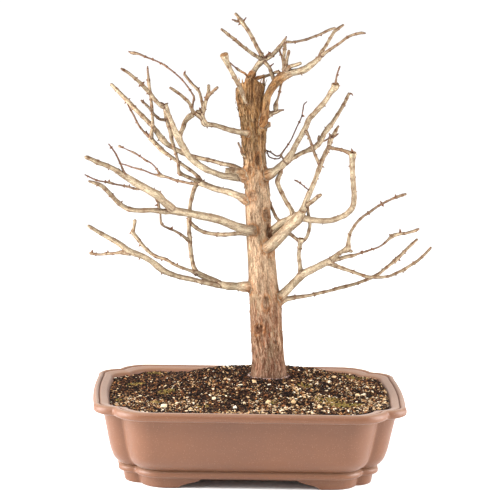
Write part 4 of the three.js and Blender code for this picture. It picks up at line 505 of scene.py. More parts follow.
    ), start=-13, reach=-64),
    Limb("left_front_high", "left_front", (
        (-104, 344.5, 4.5), (-110, 350, 4.2), (-115, 354.3, 4.2), (-119.5, 359, 4.6), (-124, 363, 4.9),
        (-130, 366, 4.4), (-140, 371.4, 4.3), (-150, 376.9, 4.3), (-155, 380, 4.1), (-165, 386, 3.6),
        (-170, 389.1, 3.3), (-175, 392.5, 3), (-180, 395.4, 2.8), (-190, 399.9, 2.6), (-200, 403.3, 2.6),
        (-210, 407.8, 2.3), (-216, 410, 2),
    ), reach=-122),
    Limb("left_front_whip", "left_front_high", (
        (-164, 386.5, 1.8), (-167.8, 394, 1.3), (-169.8, 399, 1.2), (-177.8, 415.5, 1),
        (-182.5, 422.3, 0.9), (-186.7, 427.5, 0.75),
    ), reach=-135),
    Limb("left_front_under", "left_front_high", (
        (-142, 371.2, 1.9), (-150, 369.7, 1.5), (-155, 370.6, 1.3), (-159.8, 372, 1.3),
        (-168.5, 373.9, 1.2), (-179.3, 375.8, 1.1), (-185, 377.4, 1.7), (-190, 378.2, 1), (-200, 379.8, 1),
        (-206, 381.9, 0.9), (-211.5, 384.5, 0.8), (-217, 387.2, 0.75),
    ), reach=-70),
    Limb("left_front_low", "left_front", (
        (-98, 341.6, 3.8), (-107, 341.2, 3.2), (-115, 341, 3.1), (-122, 341.8, 3), (-130, 342.4, 2.9),
        (-140, 341.8, 2.8), (-150, 341.8, 2.7), (-160, 343.3, 2.7), (-165, 345.5, 2.7), (-170, 348.8, 2.6),
        (-175, 353, 2.6), (-180, 358.2, 2.5), (-185, 363.3, 2.5), (-190, 368.6, 2.5), (-195, 373, 2.4),
        (-200, 375.2, 2.1), (-211.5, 378.9, 1.5),
    ), reach=-84),
    Limb("left_front_snag", "left_front_low", (
        (-120.8, 342, 2), (-121, 348, 1.7), (-122, 353, 1.6), (-125, 359.5, 1.9), (-126, 364, 1.9),
    ), meets="left_front_high"),
    Limb("left_low", "trunk", (
        (10, 240, 6), (-3, 243.5, 5.5), (-10, 243.8, 5.3), (-20, 244, 4.8), (-30, 244.6, 4.6),
        (-38, 245.8, 4.4), (-43, 247.2, 4),
    ), start=-6, reach=-2),
    Limb("left_low_high", "left_low", (
        (-38, 246.2, 3.5), (-44, 249.5, 3.4), (-50, 252, 3.4), (-55, 254, 3.6), (-60, 255.9, 3.7),
        (-65, 258.3, 3.6), (-70, 260.8, 3.4), (-75, 262.6, 2.3), (-85, 265.8, 1.8), (-90, 267.5, 1.9),
        (-100, 271.7, 1.8), (-110, 277.8, 1.9), (-115, 279.4, 2), (-120, 280.5, 1.9), (-125, 282.5, 2.2),
        (-130, 285.5, 2.2), (-135, 290, 2.2), (-144.6, 300.3, 2.2), (-148.5, 305.5, 2.3),
        (-152.4, 310.2, 2.5), (-154.3, 313.2, 2.7), (-153.2, 317.3, 2), (-152, 323.5, 1.9),
        (-151.7, 328.5, 2.3),
    ), reach=34),
    Limb("left_low_long", "left_low", (
        (-37, 244.8, 3.4), (-44, 245, 2.9), (-50, 246.5, 2.9), (-60, 248.3, 2.9), (-70, 250.8, 2.8),
        (-80, 253, 3), (-90, 254.8, 3), (-100, 257.7, 3.1), (-110, 261.4, 3.4), (-115, 264, 3.8),
        (-120, 267.9, 4), (-125, 271.8, 3.6), (-130, 275.7, 3.3), (-140, 281.2, 3.3), (-150, 284.9, 3.5),
        (-155, 286.6, 3.8), (-162, 290.4, 3.8), (-170, 296.7, 3.2), (-180, 302.6, 2.9), (-190, 308, 2.6),
        (-200, 313.5, 2.3), (-211.8, 320.6, 1.8),
    ), reach=-46),
    Limb("left_low_side", "left_low_long", (
        (-157, 286, 3.3), (-163, 286, 3), (-168, 286.5, 2.6), (-173, 285.7, 1.9), (-180, 284.8, 1.6),
        (-187, 284.6, 1.9), (-195, 283.2, 1.5), (-205, 283.9, 1.7), (-208.8, 284.8, 2),
    ), reach=-12),
    Limb("left_upright", "left_low_high", (
        (-69, 258.5, 3.4), (-72.5, 264, 3), (-75.2, 271.3, 2.5), (-76.6, 278, 2.4), (-78.1, 285.5, 2.4),
        (-79.7, 300, 2.5), (-80.3, 307.5, 2.7), (-81.2, 314, 2.3), (-81.5, 320.2, 2.3), (-81.6, 327, 2.7),
        (-81, 332, 2.5), (-80.9, 339, 2.1), (-80.3, 351.3, 2.2), (-78.6, 359.3, 2.3), (-76.6, 368, 2.4),
        (-74, 374.5, 2.4), (-69, 380, 2.2),
    ), meets="left_mid"),
    Limb("left_upright_twig", "left_upright", (
        (-79.6, 301.5, 2.3), (-84.5, 305.5, 2), (-89.8, 309.8, 1.7), (-100, 315.8, 1.5), (-105, 317.8, 1.5),
        (-110, 319.9, 1.4), (-115, 322.5, 1.4), (-117.6, 326.2, 1.6), (-118.3, 330.5, 1.4),
        (-119, 341, 1.2),
    ), reach=-20),
    Limb("left_loop", "trunk", (
        (-2, 313, 3.2), (-14, 314, 2.6), (-20, 313.6, 2.4), (-30, 312.3, 2.4), (-40, 311.9, 2.4),
        (-50, 312.5, 2.3), (-60, 314.4, 2.3), (-65, 316, 2.2), (-70, 318.7, 2.1), (-74.6, 322.2, 2.2),
        (-81.5, 328, 2.3),
    ), start=-12, meets="left_upright"),
)

# Buds and short snags: the limb, and x and z of each tip as it shows from the front.
BUDS = (
    ("peak_left", -22.9, 583.4), ("peak_left", -5.6, 563.6), ("peak_right", 24.6, 553),
    ("leader", 43, 515.5), ("leader", 60.5, 520.5), ("crown_arch", 84, 571.6), ("right_stub", 19.2, 475),
    ("right_riser", 24.4, 481.6), ("right_high_left", 99, 510.6), ("right_high_left", 109.8, 508),
    ("right_high_left", 91.8, 481.2), ("right_high_right", 91, 454.6), ("right_whip", 65, 468),
    ("right_whip", 43.6, 427.6), ("right_fork", 92, 402.2), ("right_fork", 85.4, 386.6),
    ("right_fork", 98.6, 421.4), ("right_fork", 102.6, 434), ("right_fork_link", 67, 443.8),
    ("right_bow", 111, 340), ("right_bow", 92, 327.4), ("right_bow", 135.6, 371), ("right_bow", 123.6, 404),
    ("right_bow", 134, 419.6), ("right_bow", 126.4, 427), ("right_low", 102, 285.8),
    ("right_low_high", 185, 368.4), ("right_low_high", 170.4, 352.2), ("right_low_high", 166, 359.4),
    ("right_low_high", 129.6, 313.4), ("right_low_mid", 144, 293.8), ("right_low_mid", 156.4, 297.6),
    ("right_low_mid", 178.6, 316.2), ("right_low_mid", 192.6, 323.6), ("right_low_drop", 210.8, 280.4),
    ("right_low_drop", 199, 265.6), ("right_low_drop", 151, 256.4), ("right_lowest", 58, 234.8),
    ("right_lowest", 110, 245.6), ("right_lowest", 187.6, 286.4), ("right_lowest", 194.6, 280.8),
    ("right_lowest", 170.4, 270.6), ("left_high", -71, 476.6), ("left_high", -60.4, 450),
    ("left_high_low", -85.4, 487.6), ("left_high_arch", -116.6, 532), ("left_high_top", -70.8, 502.6),
    ("left_high_top", -89.6, 523.8), ("left_high_inner", -65.4, 490.4), ("left_long", -160, 487.2),
    ("left_long", -167, 480.2), ("left_long", -114.6, 439), ("left_long", -124, 432.6),
    ("left_rise", -121, 483), ("left_rise", -110.6, 482), ("left_rise_tip", -149, 502.2),
    ("left_rise_tip", -141.8, 508.6), ("left_rise_tip", -139, 492.8), ("left_mid", -62.6, 383.6),
    ("left_mid", -38, 374.6), ("left_mid_rise", -98, 391), ("left_mid_high", -107.4, 407.8),
    ("left_front_high", -187, 393.6), ("left_front_high", -118.4, 368), ("left_front_high", -126.6, 371.8),
    ("left_front_under", -185.4, 381), ("left_front_under", -159.4, 375.2), ("left_front_low", -167.8, 354),
    ("left_front_snag", -126.2, 348.6), ("left_low", -16, 237), ("left_low_high", -95, 274),
    ("left_low_high", -146.4, 294.6), ("left_low_high", -116.4, 276), ("left_low_high", -158.4, 311.6),
    ("left_low_long", -146, 276.6), ("left_low_long", -117, 257.6), ("left_low_side", -186.2, 288.8),
    ("left_low_side", -206.2, 289), ("left_upright", -76.6, 308), ("left_upright", -85.4, 332.6),
    ("left_upright_twig", -103, 321.4),
)


def from_photo(red: int, green: int, blue: int) -> Colour:
    """Turns a colour as the photograph shows it into a surface's own colour in linear light.

    Args:
        red, green, blue: the colour's parts as a screen shows them, 0 to 255.

    Returns:
        The parts with an opaque fourth.
    """

    def part(value: int) -> float:
        share = value / 255
        linear = share / 12.92 if share <= 0.04045 else ((share + 0.055) / 1.055) ** 2.4
        return linear / STUDIO_BRIGHTNESS

    return (part(red), part(green), part(blue), 1.0)


def eased(low: float, high: float, value: float) -> float:
    """Returns a soft step from 0 at low to 1 at high."""
    share = min(max((value - low) / (high - low), 0.0), 1.0)
    return share * share * (3 - 2 * share)


def on_curve(before: Vector, start: Vector, end: Vector, after: Vector, share: float) -> Vector:
    """Finds a place on the smooth curve through four rows, between the middle two.

    Args:
        before, start, end, after: four rows of numbers in order along the curve.
        share: how far the place is from start to end, 0 to 1.

    Returns:
        The row at that place.
    """
    rows = (before, start, end, after)
    knots = [0.0]
    for first, second in zip(rows, rows[1:]):
        knots.append(knots[-1] + max((second - first).length, 1e-6) ** 0.5)
    place = knots[1] + (knots[2] - knots[1]) * share
    level = list(rows)
    for span in (1, 2):
        level = [
            (low * (knots[i + span] - place) + high * (place - knots[i])) / (knots[i + span] - knots[i])
            for i, (low, high) in enumerate(zip(level, level[1:]))
        ]
    return (level[0] * (knots[2] - place) + level[1] * (place - knots[1])) / (knots[2] - knots[1])


def smooth_rows(rows: Sequence[Row], step: Callable[[Vector], float]) -> list[Vector]:
    """Draws a smooth curve through rows of numbers.

    Args:
        rows: the rows that the curve passes through.
        step: gives the spacing wanted at a row.

    Returns:
        The rows and as many between them as the spacing asks for.
    """
    knots = [Vector(row) for row in rows]
    curve: list[Vector] = []
    for i in range(len(knots) - 1):
        start, end = knots[i], knots[i + 1]
        before = knots[i - 1] if i else start * 2 - end
        after = knots[i + 2] if i + 2 < len(knots) else end * 2 - start
        pieces = max(1, math.ceil((end - start).length / step(start)))
        curve += [on_curve(before, start, end, after, k / pieces) for k in range(pieces)]
    curve.append(knots[-1])
    return curve


def value_at(rows: Sequence[Row], place: float) -> list[float]:
    """Reads a table whose first column rises.

    Args:
        rows: the table.
        place: where to read it in the first column.

    Returns:
        The other columns there, in a straight line between two rows.
    """
    if place <= rows[0][0]:
        return list(rows[0][1:])
    for low, high in zip(rows, rows[1:]):
        if place <= high[0]:
            share = (place - low[0]) / (high[0] - low[0])
            return [a + (b - a) * share for a, b in zip(low[1:], high[1:])]
    return list(rows[-1][1:])


def noise_at(x: float, y: float, z: float) -> float:
    """Returns soft noise between -1 and 1 at a place."""
    return noise.noise(Vector((x, y, z)))


def soil_height(x: float, y: float) -> float:
    """Returns the soil's height at a place: level at the walls, mounded round the trunk."""
    away = math.hypot((x - SOIL_MIDDLE[0]) / SOIL_REACH[0], (y - SOIL_MIDDLE[1]) / SOIL_REACH[1])
    return SOIL_EDGE_HEIGHT + 0.008 * (x - y) + SOIL_MOUND * (1 - eased(0.35, 0.95, away))


def rod(sides: int, steps: int, capped: bool = True) -> Shape:
    """Makes an upright rod of radius 1 from z 0 to 1, cut into rings.

    Args:
        sides: how many sides it has.
        steps: how many bands it is cut into.
        capped: whether its two ends are closed.

    Returns:
        The rod, whose vertices tell their angle and their ring by where they are.
    """
    shape = bmesh.new()
    lift = Matrix.Translation((0, 0, 0.5))
    bmesh.ops.create_cone(shape, cap_ends=capped, segments=sides, radius1=1, radius2=1, depth=1, matrix=lift)
    upright = [edge for edge in shape.edges if abs(edge.verts[0].co.z - edge.verts[1].co.z) > 0.5]
    if steps > 1:
        bmesh.ops.subdivide_edges(shape, edges=upright, cuts=steps - 1, use_grid_fill=True)
    return shape


def inset_cap(shape: Shape, height: float, widths: Sequence[float]) -> None:
    """Cuts rings into the flat end of a rod.

    Args:
        shape: the rod.
        height: the end's z.
        widths: the width of each ring, from the edge inwards.
    """
    flat = (face for face in shape.faces if abs(face.calc_center_median().z - height) < 1e-4)
    cap = max(flat, key=lambda face: len(face.verts))
    for width in widths:
        bmesh.ops.inset_individual(shape, faces=[cap], thickness=width, use_even_offset=False)


@dataclass(frozen=True)
class Place:
    """Where the pot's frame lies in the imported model, and how a finished mesh gets there."""

    middle: Vector

    def matrix(self) -> Matrix:
        """Returns the move from the pot's millimetres to the model's metres."""
        return Matrix.Translation(self.middle) @ Matrix.Scale(0.001, 4)

    def point(self, x: float, y: float, z: float) -> Vector:
        """Returns one place of the pot's frame in the model's metres."""
        return self.matrix() @ Vector((x, y, z))


def settled_mesh(shape: Shape, name: str, place: Place) -> Piece:
    """Turns a shape in the pot's millimetres into an object of the scene.

    Args:
        shape: the shape, which is used up.
        name: the object's name.
        place: the pot's place in the model.

    Returns:
        The object, at the origin, with its place in its mesh.
    """
    bmesh.ops.transform(shape, matrix=place.matrix(), verts=shape.verts)
    mesh = bpy.data.meshes.new(name)
    shape.to_mesh(mesh)
    shape.free()
    piece = bpy.data.objects.new(name, mesh)
    bpy.context.scene.collection.objects.link(piece)
    return piece


def shade(piece: Piece, finish: Material, crease: float | None = None) -> None:
    """Gives a piece its material and smooth faces.

    Args:
        piece: the piece.
        finish: its material.
        crease: the angle in degrees past which an edge stays sharp, or None for no sharp edge.
    """
    piece.data.materials.clear()
    piece.data.materials.append(finish)
    piece.data.shade_smooth()
    if crease is not None:
        piece.data.set_sharp_from_angle(angle=math.radians(crease))


def bark_layers(shape: Shape) -> dict[str, object]:
    """Gives a shape the layers that the bark's material reads, and returns them by name."""
    layers = {"grain": shape.verts.layers.float_vector.new("grain")}
    for name in BARK_READINGS:
        layers[name] = shape.verts.layers.float.new(name)
    return layers


def mark(vertex: bmesh.types.BMVert, layers: dict[str, object], **values: object) -> None:
    """Writes a vertex's values into the bark's layers."""
    for name, value in values.items():
        vertex[layers[name]] = value


def joined(piece: Piece, others: Iterable[Piece], operation: str) -> None:
    """Adds other solids to a piece, or cuts them from it, and removes them.

    Args:
        piece: the solid that is changed.
        others: the other solids.
        operation: UNION or DIFFERENCE.
    """
    group = bpy.data.collections.new("tools")
    for other in others:
        bpy.context.scene.collection.objects.unlink(other)
        group.objects.link(other)
    bpy.context.scene.collection.children.link(group)
    change = piece.modifiers.new("joint", "BOOLEAN")
    change.operation = operation
    change.operand_type = "COLLECTION"
    change.collection = group
    change.solver = "MANIFOLD"
    mesh = bpy.data.meshes.new_from_object(piece.evaluated_get(bpy.context.evaluated_depsgraph_get()))
    piece.modifiers.clear()
    old = piece.data
    piece.data = mesh
    bpy.data.meshes.remove(old)
    for other in list(group.objects):
        bpy.data.meshes.remove(other.data)
    bpy.data.collections.remove(group)


@dataclass
class Bench:
    """Adds and wires the nodes of one material or node group."""

    tree: bpy.types.NodeTree

    def feed(self, socket: Socket, value: object) -> None:
        """Wires a socket to another one, or sets its value."""
        if isinstance(value, Socket):
            self.tree.links.new(value, socket)
        else:
            socket.default_value = value

    def node(self, kind: str, inputs: dict, **settings: object) -> Node:
        """Adds one node.

        Args:
            kind: the node's type.
            inputs: its input sockets by name or number, with what feeds each.
            **settings: the node's own settings.

        Returns:
            The node.
        """
        made = self.tree.nodes.new(kind)
        for key, value in settings.items():
            setattr(made, key, value)
        for key, value in inputs.items():
            self.feed(made.inputs[key], value)
        return made

    def maths(self, operation: str, first: object, second: object = 0.0) -> Socket:
        """Returns the result of a sum on one or two values."""
        return self.node("ShaderNodeMath", {0: first, 1: second}, operation=operation).outputs[0]

    def times(self, first: object, second: object) -> Socket:
        """Returns the product of two values."""
        return self.maths("MULTIPLY", first, second)

    def plus(self, first: object, second: object) -> Socket:
        """Returns the sum of two values."""
        return self.maths("ADD", first, second)

    def vectors(self, operation: str, first: object, second: object) -> Socket:
        """Returns the result of a sum on two vectors."""
        return self.node("ShaderNodeVectorMath", {0: first, 1: second}, operation=operation).outputs[0]

    def parts(self, vector: object) -> Sequence[Socket]:
        """Returns the x, y and z of a vector."""
        return self.node("ShaderNodeSeparateXYZ", {0: vector}).outputs

    def spread(self, value: object, low: float, high: float, start: float = 0, end: float = 1) -> Socket:
        """Returns a value stretched from one range to another, without going past it."""
        inputs = {"Value": value, "From Min": low, "From Max": high, "To Min": start, "To Max": end}
        return self.node("ShaderNodeMapRange", inputs).outputs[0]

    def blend(self, share: object, first: object, second: object) -> Socket:
        """Returns a mix of two colours."""
        return self.node("ShaderNodeMix", {0: share, 6: first, 7: second}, data_type="RGBA").outputs[2]

    def coated(self, colour: object, *coats: tuple[object, object]) -> Socket:
        """Returns a colour with coats on it, each a share and a colour of its own."""
        for share, coat in coats:
            colour = self.blend(share, colour, coat)
        return colour

    def stretched(self, vector: object, *scale: float) -> Socket:
        """Returns coordinates multiplied along each axis."""
        return self.node("ShaderNodeMapping", {"Vector": vector, "Scale": scale}).outputs[0]

    def clouds(self, vector: object, scale: object, detail: float, rough: float) -> Socket:
        """Returns soft noise between 0 and 1."""
        inputs = {"Vector": vector, "Scale": scale, "Detail": detail, "Roughness": rough}
        return self.node("ShaderNodeTexNoise", inputs).outputs[0]

    def coordinates(self) -> Socket:
        """Returns the place on the object, in metres."""
        return self.node("ShaderNodeTexCoord", {}).outputs["Object"]

    def facing(self) -> Sequence[Socket]:
        """Returns the x, y and z of the way that the surface faces."""
        return self.parts(self.node("ShaderNodeNewGeometry", {}).outputs["Normal"])

    def reading(self, name: str, output: str = "Fac") -> Socket:
        """Returns a value that the mesh carries at its vertices."""
        return self.node("ShaderNodeAttribute", {}, attribute_name=name).outputs[output]

    def effect(self, group: bpy.types.NodeTree, *values: object) -> Sequence[Socket]:
        """Returns what a shared effect puts out when it is placed here with its own values."""
        made = self.tree.nodes.new("ShaderNodeGroup")
        made.node_tree = group
        for socket, value in zip(made.inputs, values):
            self.feed(socket, value)
        return made.outputs

    def fibres(self, place: object, width: float, length: float) -> Sequence[Socket]:
        """Returns the height and the furrows of long fibres."""
        return self.effect(fibre_effect(), place, width, length)

    def mottle(self, place: object, size: float, contrast: float) -> Socket:
        """Returns the mask of soft patches."""
        return self.effect(mottle_effect(), place, size, contrast)[0]

    def speckle(self, place: object, size: float, share: float) -> Sequence[Socket]:
        """Returns the mask and the height of fine grains."""
        return self.effect(speckle_effect(), place, size, share)


def new_effect(name: str, inputs: Sequence[str], outputs: Sequence[str]) -> tuple[Bench, Sequence, Sequence]:
    """Starts a shader node group.

    Args:
        name: the group's name.
        inputs: the names of what it takes: a place first, and then numbers.
        outputs: the names of the numbers that it puts out.

    Returns:
        A bench for its nodes, its inputs' sockets and its results' sockets.
    """
    group = bpy.data.node_groups.new(name, "ShaderNodeTree")
    for i, key in enumerate(inputs):
        kind = "NodeSocketFloat" if i else "NodeSocketVector"
        group.interface.new_socket(name=key, in_out="INPUT", socket_type=kind)
    for key in outputs:
        group.interface.new_socket(name=key, in_out="OUTPUT", socket_type="NodeSocketFloat")
    given = group.nodes.new("NodeGroupInput")
    result = group.nodes.new("NodeGroupOutput")
    return Bench(group), given.outputs, result.inputs


@cache
def fibre_effect() -> bpy.types.NodeTree:
    """Makes the long fibres of bark and wood.

    Returns:
        A group that takes a place in millimetres, with z along the grain, and a fibre's width
        and length, and puts out a height and a mask of the furrows.
    """
    names = ("Place", "Width", "Length")
    bench, (place, width, length, *_), result = new_effect("long_fibres", names, ("Height", "Furrow"))
    across = bench.maths("DIVIDE", 1.0, width)
    along = bench.maths("DIVIDE", 1.0, length)
    scale = bench.node("ShaderNodeCombineXYZ", {0: across, 1: across, 2: along}).outputs[0]
    place = bench.vectors("MULTIPLY", place, scale)
    ridge = bench.maths("ABSOLUTE", bench.maths("SUBTRACT", bench.clouds(place, 1.0, 5.0, 0.6), 0.5))
    fine = bench.clouds(place, 3.1, 3.0, 0.5)
    broken = bench.spread(bench.clouds(place, 0.55, 2.0, 0.5), 0.44, 0.56)
    furrow = bench.times(bench.spread(ridge, 0.012, 0.075, 1.0, 0.0), broken)
    bench.feed(result["Height"], bench.plus(bench.times(furrow, -1.0), bench.times(fine, 0.5)))
    bench.feed(result["Furrow"], furrow)
    return bench.tree


@cache
def mottle_effect() -> bpy.types.NodeTree:
    """Makes the soft patches in which a natural surface changes.

    Returns:
        A group that takes a place, a patch size and a contrast, and puts out a mask.
    """
    names = ("Place", "Size", "Contrast")
    bench, (place, size, contrast, *_), result = new_effect("soft_patches", names, ("Mask",))
    cloud = bench.clouds(place, bench.maths("DIVIDE", 1.0, size), 5.0, 0.6)
    shifted = bench.times(bench.maths("SUBTRACT", cloud, 0.5), contrast)
    bench.feed(result["Mask"], bench.spread(bench.plus(shifted, 0.5), 0.0, 1.0))
    return bench.tree


@cache
def speckle_effect() -> bpy.types.NodeTree:
    """Makes fine grains set in a surface, as in fired clay or grit.

    Returns:
        A group that takes a place, a grain size and how many of the cells hold a grain, and puts
        out a mask of the grains and a height.
    """
    names = ("Place", "Size", "Share")
    bench, (place, size, share, *_), result = new_effect("fine_speckle", names, ("Mask", "Height"))
    scale = bench.maths("DIVIDE", 1.0, size)
    cells = bench.node("ShaderNodeTexVoronoi", {"Vector": place, "Scale": scale}).outputs
    pick = bench.node("ShaderNodeSeparateColor", {0: cells["Color"]}).outputs[0]
    dot = bench.spread(cells["Distance"], 0.2, 0.45, 1.0, 0.0)
    bench.feed(result["Mask"], bench.times(bench.maths("LESS_THAN", pick, share), dot))
    bench.feed(result["Height"], bench.clouds(place, bench.times(scale, 0.7), 4.0, 0.6))
    return bench.tree


def new_finish(name: str, rough: float, specular: float) -> tuple[Material, Bench, Node]:
    """Starts a material.

    Args:
        name: the material's name.
        rough: its roughness where nothing changes it.
        specular: its specular level.

    Returns:
        The material, a bench for its nodes and its shader.
    """
    finish = bpy.data.materials.new(name)
    finish.use_nodes = True
    shader = next(node for node in finish.node_tree.nodes if node.type == "BSDF_PRINCIPLED")
    shader.inputs["Roughness"].default_value = rough
    shader.inputs["Specular IOR Level"].default_value = specular
    return finish, Bench(finish.node_tree), shader


def cover(bench: Bench, shader: Node, colour: object, height: object, strength: object, deep: float) -> None:
    """Gives a shader its colour, and roughens its surface by a height, deep at most in metres."""
    bench.feed(shader.inputs["Base Color"], colour)
    bump = bench.node("ShaderNodeBump", {"Height": height, "Strength": strength, "Distance": deep})
    bench.feed(shader.inputs["Normal"], bump.outputs[0])


@dataclass(frozen=True)
class BarkFinish:
    """Dry fibrous bark: redder low down, pale in the middle, darkest at the chopped top; limbs smoother."""

    low: Colour = from_photo(138, 83, 60)
    middle: Colour = from_photo(198, 163, 129)
    upper: Colour = from_photo(160, 118, 70)
    top: Colour = from_photo(182, 136, 84)
    pale: Colour = from_photo(235, 212, 178)
    russet: Colour = from_photo(144, 92, 62)
    lichen: Colour = from_photo(144, 134, 104)
    furrow: Colour = from_photo(84, 50, 30)
    limb: Colour = from_photo(225, 209, 177)
    # Dark weathered brown of thin limbs, also used as painted shade on upward faces and flanks.
    weathered_and_shade: Colour = from_photo(104, 80, 56)
    knot: Colour = from_photo(164, 104, 56)
    node: Colour = from_photo(104, 68, 42)
    heart: Colour = from_photo(90, 54, 32)
    twig: Colour = from_photo(100, 68, 60)
    foot: Colour = from_photo(138, 108, 90)
    wet: Colour = from_photo(58, 42, 36)
    cut_wood: Colour = from_photo(176, 134, 92)
    cut_dark: Colour = from_photo(92, 62, 42)
    soil_line: float = 0.128

    def trunk_tone(self, bench: Bench, height: Socket) -> Socket:
        """Returns the trunk's main colour at a height in metres."""
        tones = ((0.185, 0.265, self.middle), (0.37, 0.43, self.upper), (0.44, 0.49, self.top))
        coats = [(bench.spread(height, low, high), tone) for low, high, tone in tones]
        return bench.coated(self.low, *coats)

    def material(self) -> Material:
        """Returns the bark's material."""
        finish, bench, shader = new_finish("bark", 0.85, 0.08)
        grain = bench.reading("grain", "Vector")
        girth, cut, knot, scar = (bench.reading(name) for name in BARK_READINGS)
        height = bench.parts(bench.coordinates())[2]
        facing = bench.facing()
        sideways = bench.maths("ABSOLUTE", facing[1])
        drift = bench.node("ShaderNodeTexNoise", {"Vector": grain, "Scale": 0.05, "Detail": 2.0})
        wavy = bench.vectors("MULTIPLY", drift.outputs["Color"], (6.0, 6.0, 0.0))
        wavy = bench.vectors("ADD", grain, wavy)
        coarse_height, coarse_furrow = bench.fibres(wavy, 2.4, 21.0)
        fine_height, fine_furrow = bench.fibres(wavy, 1.2, 6.5)
        red = bench.mottle(bench.stretched(wavy, 1, 1, 0.14), 4.4, 5.0)
        light = bench.mottle(bench.stretched(wavy, 1.5, 1.5, 0.2), 3.0, 6.0)
        green = bench.mottle(bench.stretched(grain, 1, 1, 0.5), 12.0, 6.0)
        crumble = bench.mottle(bench.stretched(grain, 1, 1, 0.6), 1.5, 5.0)
        fleck = bench.speckle(bench.stretched(wavy, 1, 1, 0.35), 2.0, 0.2)[0]
        pit = bench.speckle(bench.stretched(grain, 1, 1, 0.4), 1.15, 0.3)[0]
        thick = bench.spread(girth, 8.5, 12.5)

        ruddy = bench.plus(bench.spread(height, 0.17, 0.26, 0.3, 0), bench.spread(thick, 0, 1, 0.15, 0.28))
        bleached = bench.spread(thick, 0, 1, 0.72, 0.38)
        bleached = bench.plus(bleached, bench.spread(height, 0.38, 0.45, 0.0, -0.2))
        # Painted shade: bark is darkened on upward faces and on flanks turned away from the front, and on
        # the trunk towards its edges as seen from the front.
        flank = bench.times(bench.spread(sideways, 0.96, 0.45), 0.95)
        shaded = bench.maths("MAXIMUM", bench.spread(facing[2], 0.0, 0.75, 0.0, 0.8), flank)
        shaded = bench.times(shaded, bench.spread(girth, 2.4, 4.6, 1.0, 0.8))
        shaded = bench.blend(thick, shaded, bench.spread(sideways, 0.66, 0.3, 0.0, 0.75))
        slender = bench.times(bench.spread(girth, 1.8, 4.4, 0.58, 0.0), bench.spread(light, 0, 1, 1.2, 0.5))
        gnarl = bench.times(knot, bench.spread(light, 0.3, 1.0, 0.9, 0.4))
        ends = bench.spread(height, 0.37, 0.44, 0.0, 0.3)
        ends = bench.plus(ends, bench.spread(height, 0.16, 0.235, 0.3, 0.0))
        strength = bench.plus(bench.spread(girth, 1.5, 12.0, 0.34, 0.55), bench.times(ends, thick))
        thin = bench.times(bench.plus(fine_furrow, bench.times(knot, 0.2)), strength)
        rings = bench.mottle(grain, 1.6, 5.0)
        line = self.soil_line
        colour = bench.coated(
            bench.blend(thick, self.limb, self.trunk_tone(bench, height)),
            (bench.times(red, ruddy), self.russet),
            (bench.times(light, bleached), self.pale),
            (bench.spread(green, 0.78, 1.0, 0.0, 0.35), self.lichen),
            (slender, self.weathered_and_shade),
            # Painted shade on upward faces and flanks, in the dark weathered brown.
            (bench.times(shaded, bench.spread(red, 0, 1, 0.7, 1.0)), self.weathered_and_shade),
            (bench.spread(girth, 0.9, 2.1, 0.95, 0.0), self.twig),
            (bench.times(fleck, bench.spread(thick, 0, 1, 0.45, 0.5)), self.knot),
            (bench.times(pit, bench.spread(thick, 0, 1, 0.62, 0.55)), self.furrow),
            (bench.spread(crumble, 0.35, 1.0, 0.0, 0.34), self.furrow),
            (gnarl, bench.blend(bench.spread(girth, 4.0, 7.0), self.node, self.knot)),
            (bench.times(knot, pit), self.furrow),
            (bench.times(scar, bench.spread(crumble, 0.0, 1.0, 0.75, 1.0)), self.heart),
            (bench.spread(height, line + 0.045, line, 0.0, 0.55), self.foot),
            (bench.spread(height, line + 0.004, line - 0.008, 0.0, 0.8), self.wet),
            (bench.times(coarse_furrow, strength), self.furrow),
            (bench.times(thin, 0.75), self.furrow),
            (bench.spread(cut, 0.35, 0.75), bench.blend(rings, self.cut_dark, self.cut_wood)),
        )
        relief = bench.plus(coarse_height, bench.times(fine_height, 0.5))
        relief = bench.plus(relief, bench.times(pit, -0.5))
        cover(bench, shader, colour, relief, bench.spread(girth, 1.0, 9.0, 0.25, 0.7), 0.0009)
        return finish


@dataclass(frozen=True)
class BudFinish:
    """The brown scales of winter buds."""

    dark: Colour = from_photo(74, 46, 32)
    light: Colour = from_photo(138, 92, 60)

    def material(self) -> Material:
        """Returns the buds' material."""
        finish, bench, shader = new_finish("bud_scales", 0.65, 0.2)
        place = bench.coordinates()
        colour = bench.blend(bench.mottle(place, 0.0022, 3.0), self.dark, self.light)
        cover(bench, shader, colour, bench.speckle(place, 0.0008, 0.5)[1], 0.4, 0.0004)
        return finish


